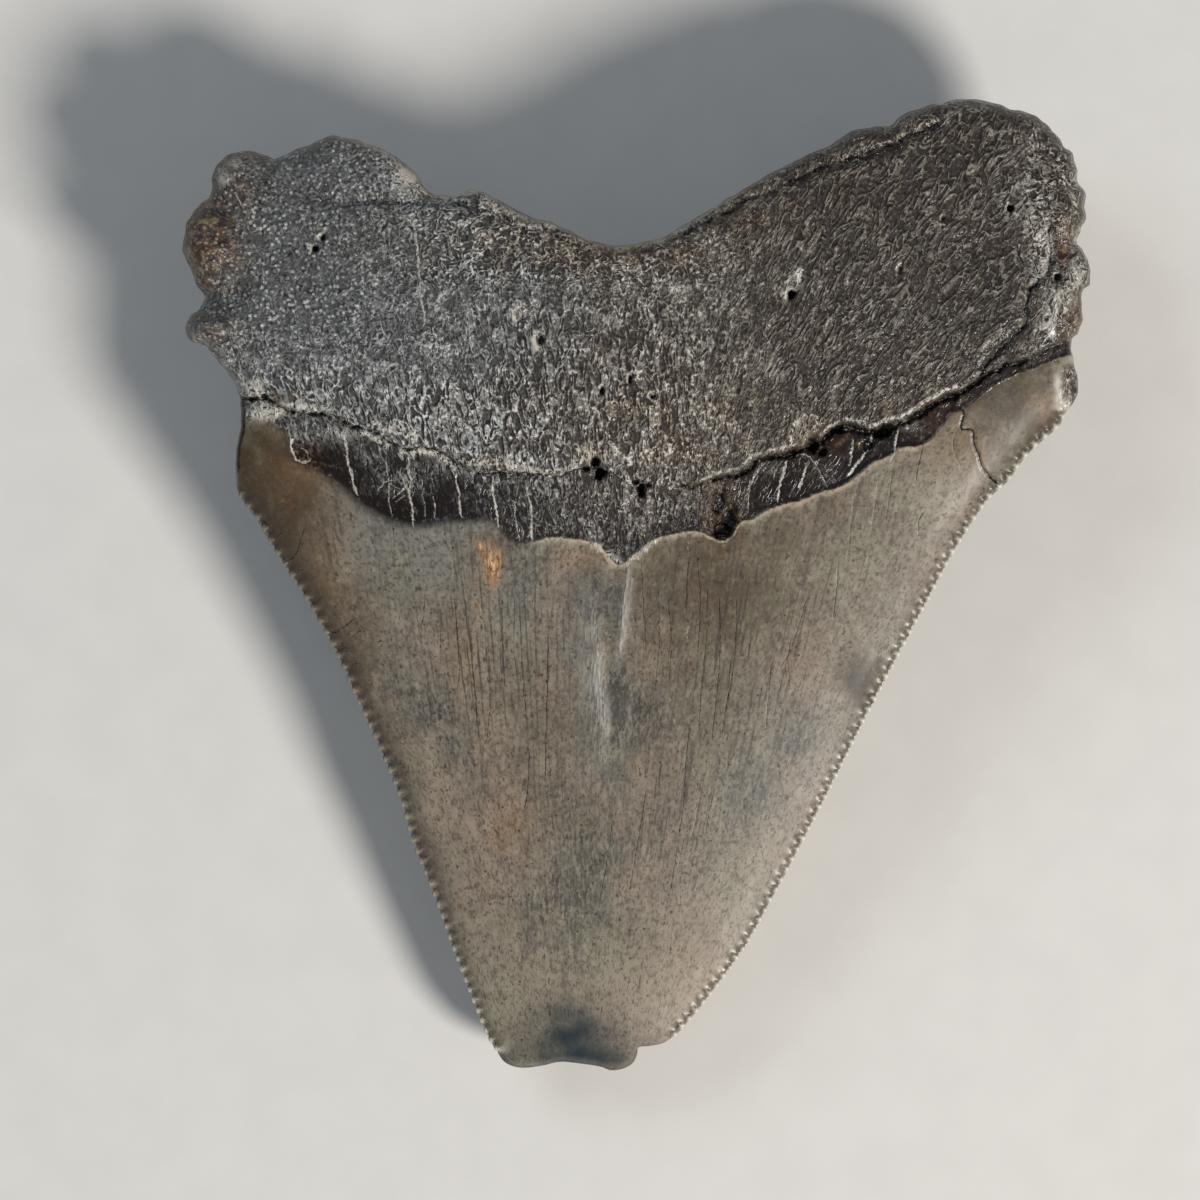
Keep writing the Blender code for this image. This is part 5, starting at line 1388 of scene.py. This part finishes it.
def boneRidges(n, offset):   # short curling ridges; offset in millimetres finds them further on
    def folded(name):
        grain, stretch, low, high = finish["ridges"][name]
        shift = tuple(offset * part for part in (stretch[0], -stretch[1], 0.0))
        folds = n.noise(n.grain(grain, stretch, shift), 2.0, 0.5, 1.1)
        return n.step(n.math("ABSOLUTE", n.minus(folds, 0.5)), low, high, 1.0, 0.0)

    pearlShift = (offset * 2.1, -offset * 2.1, 0.0)
    pearls = n.step(n.cells(n.grain("place", (2.1, 2.1, 2.1), pearlShift)), 0.20, 0.46, 1.0, 0.0)
    even = n.blend(n.times(n.mask("pearly"), 0.75), folded("even"), pearls)
    ridges = n.blend(n.mask("drawnShare"), even, folded("drawn"))
    return n.blend(n.mask("rightShare"), ridges, folded("leaning"))


def rustyColours(n):   # of knobs and hollows
    rusty = n.named("rust")
    tone = n.mix(n.step(rusty, 0.38, 0.55), finish["rustDark"], finish["rust"])
    return n.mix(n.step(rusty, 0.54, 0.66), tone, finish["ochre"])


def rootColours(n, ridges, speck, lumps, rusty):   # ridges and pearls of bone on a dark ground with pores; the pale ridges are partly pale bone and partly painted highlight, with painted shadow beside them
    ridgesForShadow = boneRidges(n, finish["ridgeShadow"])
    coarse = n.named("coarse")

    ground = n.mix(n.mask("warmShare"), finish["groundLeft"], finish["groundRight"])
    ground = n.mix(n.step(coarse, 0.35, 0.65, 0.0, 0.35), ground, finish["rootDarkAndShadow"])
    # painted bluish sheen
    ground = n.mix(n.times(n.mask("blueSheen"), 0.6), ground, finish["rootBlueSheen"])
    ground = n.mix(n.step(speck, 0.46, 0.72, 0.0, 0.30), ground, finish["ridgeRight"])
    ground = n.mix(n.step(n.named("pore"), 0.30, 0.42, 0.85, 0.0), ground, finish["rootDarkAndShadow"])
    # painted shadow a little off each ridge, on the side away from the light
    ground = n.mix(n.times(ridgesForShadow, n.minus(1.0, ridges), 0.75), ground, finish["rootDarkAndShadow"])
    ridgeColour = n.mix(n.mask("warmShare"), finish["ridgeLeft"], finish["ridgeRight"])
    ridgeColour = n.mix(n.times(n.mask("tan"), n.step(coarse, 0.3, 0.6)), ridgeColour, finish["ridgeTan"])
    pale = n.times(ridges, n.step(speck, 0.32, 0.60, 0.35, 1.0), n.step(lumps, 0.34, 0.60, 0.50, 1.25),
                   n.step(coarse, 0.30, 0.70, 1.1, 0.75), n.mask("contrast"))
    colour = n.mix(pale, ground, ridgeColour)
    # painted glints: near white specks on the ridges
    glints = n.times(n.step(speck, 0.50, 0.66), ridges, n.step(lumps, 0.42, 0.58, 0.2, 1.0),
                     n.less(n.mask("rightShare"), 0.75), n.less(n.mask("pearly"), 0.45), n.mask("contrast"))
    colour = n.mix(glints, colour, finish["ridgeGlint"])
    return n.mix(n.times(n.mask("rust"), n.step(ridges, 0.2, 0.9, 0.85, 0.50)), colour, rusty)


def hairlines(n, perMm, seed):   # evenly thin lines down the crown, broken into stretches
    sideways, along, _ = n.node("SeparateXYZ", None, {0: n.grain("crownGrain", (1.0, 1.0, 1.0))})
    sway = n.noise(n.grain("crownGrain", (0.55, 0.035, 0.0), (seed, 0.0, 0.0)), 1.0, 0.5)
    shake = n.noise(n.grain("crownGrain", (0.9, 0.38, 0.0), (seed, 0.0, 0.0)), 2.0, 0.6)
    turns = n.plus(n.plus(n.times(sideways, perMm), n.times(sway, 2.2)), n.times(shake, 0.42))
    away = n.math("ABSOLUTE", n.minus(n.math("FRACT", turns), 0.5))
    line = n.step(away, 0.030 * perMm + 0.03, 0.085 * perMm + 0.03, 1.0, 0.0)
    own = n.times(n.math("FLOOR", turns), 3.7)
    stretch = n.noise(n.node("CombineXYZ", 0, {0: own, 1: n.times(along, 0.17), 2: seed}), 2.0, 0.6)
    return n.times(line, n.step(stretch, 0.47, 0.58))


def enamelColours(n, rusty):   # taupe with placed tones, fine lines down the crown, dots and strokes
    smear, mottle, wisps = n.named("smear"), n.named("mottle"), n.named("wisps")
    colour = n.mix(n.step(n.named("hue"), 0.40, 0.60), finish["enamelGreen"], finish["enamelPink"])
    colour = n.mix(n.step(n.named("cloud"), 0.40, 0.66, 0.0, 0.7), colour, finish["enamelDeep"])
    colour = n.mix(n.step(smear, 0.50, 0.66, 0.0, 0.75), colour, finish["enamelWarm"])
    # pale and brown patches, partly painted light on the right and painted shade on the left
    colour = n.mix(n.mask("light"), colour, finish["enamelLight"])
    colour = n.mix(n.mask("brownAndSideShade"), colour, finish["enamelBrownAndShade"])
    colour = n.mix(n.mask("halo"), colour, finish["enamelHalo"])
    misty = n.times(n.mask("mist"), n.step(smear, 0.30, 0.60, 0.6, 1.0))
    colour = n.mix(misty, colour, finish["enamelMist"])
    haze = n.plus(n.mask("blue"), n.times(n.minus(smear, 0.5), 1.2))
    haze = n.times(n.step(haze, 0.0, 0.9, 0.0, 0.75), n.step(n.mask("blue"), 0.0, 0.6))
    colour = n.mix(haze, colour, finish["enamelBlue"])
    dark = n.times(n.step(wisps, 0.47, 0.62, 0.0, 0.75), n.step(n.mask("blue"), 0.1, 0.9))
    colour = n.mix(dark, colour, finish["enamelSoot"])
    colour = n.mix(n.times(n.mask("orange"), n.step(mottle, 0.35, 0.65, 0.5, 1.0)), colour, finish["orange"])
    clear = n.less(n.mask("brownAndSideShade"), 0.8)       # pale flecks keep off the brown
    colour = n.mix(n.times(clear, n.step(smear, 0.32, 0.47, 0.48, 0.0)), colour, finish["enamelLight"])
    colour = n.mix(n.step(mottle, 0.50, 0.70, 0.0, 0.52), colour, finish["enamelDot"])
    colour = n.mix(n.times(clear, n.step(mottle, 0.28, 0.47, 0.42, 0.0)), colour, finish["enamelLight"])

    sootAndFoldShade = n.plus(n.mask("sootAndFoldShade"), n.times(n.minus(wisps, 0.5), 2.2))
    sootAndFoldShade = n.times(n.step(sootAndFoldShade, 0.25, 0.90, 0.0, 0.8), n.step(n.mask("sootAndFoldShade"), 0.02, 0.30))
    colour = n.mix(sootAndFoldShade, colour, finish["enamelSoot"])

    # the flame, a streaky orange patch
    strands = n.named("strands")
    flame = n.mix(n.step(strands, 0.42, 0.58), finish["flameDark"], finish["flame"])
    flame = n.mix(n.step(strands, 0.56, 0.66), flame, finish["flamePale"])
    for centre, half, lean in finish["flames"]:
        ragged = n.plus(n.reach(centre, half, lean), n.times(n.minus(strands, 0.5), 2.0))
        colour = n.mix(n.step(ragged, 0.3, 1.5, 0.95, 0.0), colour, flame)

    # long hairlines, each with its own stretches, then flakes, dots, crumbs and ticks
    lines = n.most(hairlines(n, 1.5, 0.0), hairlines(n, 0.9, 7.0))
    colour = n.mix(n.times(lines, n.mask("lined"), 0.85), colour, finish["enamelHair"])
    flakes = n.named("flakes")
    colour = n.mix(n.step(flakes, 0.53, 0.64, 0.0, 0.66), colour, finish["enamelDot"])
    colour = n.mix(n.times(clear, n.step(flakes, 0.34, 0.46, 0.36, 0.0)), colour, finish["enamelLight"])
    dots = n.step(n.cells(n.grain("place", (1.1, 1.1, 1.1))), 0.08, 0.17, 0.8, 0.0)
    colour = n.mix(n.times(dots, n.step(smear, 0.46, 0.54)), colour, finish["enamelDark"])
    colour = n.mix(n.step(n.named("crumbs"), 0.62, 0.68, 0.0, 0.80), colour, finish["enamelHair"])
    ticks = n.step(n.named("ticks"), 0.63, 0.72, 0.0, 0.7)
    colour = n.mix(n.times(ticks, n.mask("lined")), colour, finish["enamelDark"])
    if rusty is not None:
        colour = n.mix(n.times(n.mask("rust"), 0.7), colour, rusty)

    # the dark tip, painted highlights on the beads and folds, painted shade in the notches
    colour = n.mix(n.mask("tip"), colour, finish["tipBlue"])
    colour = n.mix(n.mask("edge"), colour, finish["edgeHighlight"])
    crest = n.times(n.step(n.named("streaks"), 0.44, 0.62), 0.80)
    crest = n.plus(crest, n.step(n.mask("fold"), 0.6, 0.95, 0.0, 0.42))
    colour = n.mix(n.times(n.mask("fold"), crest), colour, finish["foldHighlight"])
    return n.mix(n.times(n.mask("notch"), 0.85), colour, finish["notchShade"])


def fossilFinish(name, hasRoot, hasEnamel):   # only the layers that its faces show, to render sooner
    material = bpy.data.materials.new(name)
    n = nodeTable(material)
    speck, flecks = n.named("speck"), n.named("flecks")
    rusty = None
    if hasRoot:
        ridges, lumps, rusty = boneRidges(n, 0.0), n.named("lumps"), rustyColours(n)
        colour = rootColour = rootColours(n, ridges, speck, lumps, rusty)
    if hasEnamel:
        colour = enamelColours(n, rusty)
    if hasRoot and hasEnamel:      # the dark band between them
        bandTone = n.mix(n.step(flecks, 0.60, 0.74, 0.0, 0.22), finish["bandColour"], finish["ridgeLeft"])
        bandTone = n.mix(n.times(n.mask("orange"), n.step(flecks, 0.45, 0.6)), bandTone, finish["orange"])
        bandTone = n.mix(n.times(n.mask("rust"), 0.5), bandTone, rusty)
        colour = n.mix(n.mask("band"), colour, bandTone)
        colour = n.mix(n.mask("bone"), colour, rootColour)
    if hasRoot:                    # chips, painted highlights on pit walls, and glossy flakes with painted glints
        fragment = n.most(ridges, n.step(speck, 0.42, 0.56))
        fragment = n.times(fragment, n.step(n.mask("chipsAndPitHighlights"), 0.1, 0.8, 0.6, 1.3))
        fragment = n.most(fragment, n.step(n.mask("chipsAndPitHighlights"), 0.75, 1.0))
        chipColour = n.mix(n.mask("tan"), finish["chipPale"], finish["ridgeTan"])
        colour = n.mix(n.times(n.mask("chipsAndPitHighlights"), fragment), colour, chipColour)
        colour = n.mix(n.times(n.mask("glossAndGlint"), ridges), colour, finish["ridgeGlint"])
    if hasEnamel:
        lip = n.times(n.mask("enamelLip"), n.step(flecks, 0.35, 0.55, 0.3, 1.0))
        colour = n.mix(lip, colour, finish["lipPale"])

    # filled cracks, then open ones, with painted shade in holes and gaps
    ragged = n.minus(n.named("ragged"), 0.5)
    filled = n.plus(n.mask("mineral"), n.times(ragged, 1.6))
    filled = n.times(n.step(filled, 0.32, 0.72), n.step(n.mask("mineral"), 0.05, 0.6))
    mineral = n.mix(n.step(flecks, 0.40, 0.60), finish["mineralDull"], finish["mineral"])
    colour = n.mix(filled, colour, mineral)
    opened = n.plus(n.mask("dark"), n.times(ragged, 0.9))
    opened = n.times(n.step(opened, 0.25, 0.70), n.step(n.mask("dark"), 0.03, 0.30))
    n.put(n.shader.inputs["Base Color"], n.mix(opened, colour, finish["gap"]))

    rough = finish["rootRoughness" if hasRoot else "enamelRoughness"]
    if hasRoot and hasEnamel:
        rough = n.blend(n.mask("band"), finish["enamelRoughness"], finish["bandRoughness"])
        rough = n.blend(n.mask("bone"), rough, finish["rootRoughness"])
    rough = n.plus(rough, n.times(n.minus(speck, 0.5), finish["roughnessChange"]))
    if hasRoot:
        rough = n.blend(n.mask("glossAndGlint"), rough, finish["glossRoughness"])
    rough = n.blend(n.mask("dark"), rough, finish["gapRoughness"])
    n.put(n.shader.inputs["Roughness"], rough)
    n.put(n.shader.inputs["Specular IOR Level"], finish["specular"])

    if hasRoot:
        height = n.plus(n.times(ridges, 0.6), n.plus(lumps, n.times(speck, 0.3)))
        height = n.times(height, n.most(n.mask("bone"), n.mask("chipsAndPitHighlights")))
        height = n.times(height, n.plus(1.0, n.times(n.mask("rightShare"), 0.5)))
        bumped = n.node("Bump", "Normal", {
            "Height": height, "Distance": finish["grainBump"] * mm, "Strength": 1.0})
        n.put(n.shader.inputs["Normal"], bumped)
    return material


def atCorners(marked):   # faces that are marked at all three corners
    return marked[faces].all(axis=1)


# faces of root alone, of enamel alone, and those with both or with the band
faint = finish["faint"]
rooty = np.maximum.reduce([masks[name] for name in ("bone", "band", "chipsAndPitHighlights", "glossAndGlint", "rust")])
onlyRoot = atCorners((masks["bone"] > 1 - faint) & (masks["enamelLip"] < faint))
onlyEnamel = atCorners(rooty < faint)
for name, hasRoot, hasEnamel in (("fossilRoot", True, False), ("fossilEnamel", False, True),
                                 ("fossilBand", True, True)):
    fossilMesh.materials.append(fossilFinish(name, hasRoot, hasEnamel))
finishOf = np.where(onlyRoot, 0, np.where(onlyEnamel, 1, 2))
fossilMesh.polygons.foreach_set("material_index", finishOf.astype(np.int32))
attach(fossil, "root")
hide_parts("tooth")
print("finish made:", *np.bincount(finishOf), "faces of root, enamel and both")

# floor, light and camera
stage = {
    "floorColour": (0.74, 0.73, 0.71),
    "floorShade": 0.97,
    "floorGrain": 220.0,
    "floorRoughness": 0.85,
    "floorSize": 3.0,
    "lights": {   # place, power, colour and size
        "key": ((0.56, -0.48, 0.62), 9.6, (1.0, 0.955, 0.89), 0.26),
        "fill": ((-0.50, 0.46, 0.62), 2.0, (0.80, 0.90, 1.0), 0.5),
    },
    "skyColour": (0.95, 0.97, 1.0, 1.0),
    "skyStrength": 0.14,
    "lens": 250,
    "sensor": 36,
    "frameWidth": 96 * mm,
    "look": (-2.84 * mm, -1.08 * mm, 12 * mm),
    "nearest": 0.05,
    "farthest": 10,
}


def makeFloor():
    half = stage["floorSize"] / 2
    corners = [(-half, -half, 0), (half, -half, 0), (half, half, 0), (-half, half, 0)]
    mesh = bpy.data.meshes.new("floor")
    mesh.from_pydata(corners, [], [(0, 1, 2, 3)])
    material = bpy.data.materials.new("floorPaper")
    n = nodeTable(material)
    where = n.node("TexCoord", "Object", {})
    grain = n.node("VectorMath", 0, {0: where, "Scale": stage["floorGrain"]}, operation="SCALE")
    tone = n.step(n.noise(grain), 0.3, 0.7)
    shaded = tuple(part * stage["floorShade"] for part in stage["floorColour"])
    n.put(n.shader.inputs["Base Color"], n.mix(tone, stage["floorColour"], shaded))
    n.put(n.shader.inputs["Roughness"], stage["floorRoughness"])
    mesh.materials.append(material)
    linked("floor", mesh)


def makeLight(name, place, power, colour, size):
    data = bpy.data.lights.new(name, "AREA")
    data.shape = "DISK"
    data.size = size
    data.energy = power
    data.color = colour
    light = linked(name, data)
    light.location = place
    light.rotation_euler = (-Vector(place)).to_track_quat("-Z", "Y").to_euler()


def makeSky():
    sky = bpy.data.worlds.new("sky")
    sky.use_nodes = True
    background = sky.node_tree.nodes["Background"]
    background.inputs["Color"].default_value = stage["skyColour"]
    background.inputs["Strength"].default_value = stage["skyStrength"]
    bpy.context.scene.world = sky
    bpy.context.scene.view_settings.view_transform = "Standard"


def makeCamera():
    data = bpy.data.cameras.new("camera")
    data.lens = stage["lens"]
    data.sensor_width = stage["sensor"]
    data.clip_start = stage["nearest"]
    data.clip_end = stage["farthest"]
    camera = linked("camera", data)
    x, y, z = stage["look"]
    camera.location = (x, y, z + stage["frameWidth"] * stage["lens"] / stage["sensor"])
    bpy.context.scene.camera = camera


makeFloor()
for name, (place, power, colour, size) in stage["lights"].items():
    makeLight(name, place, power, colour, size)
makeSky()
makeCamera()
print("stage set")

bpy.context.view_layer.update()
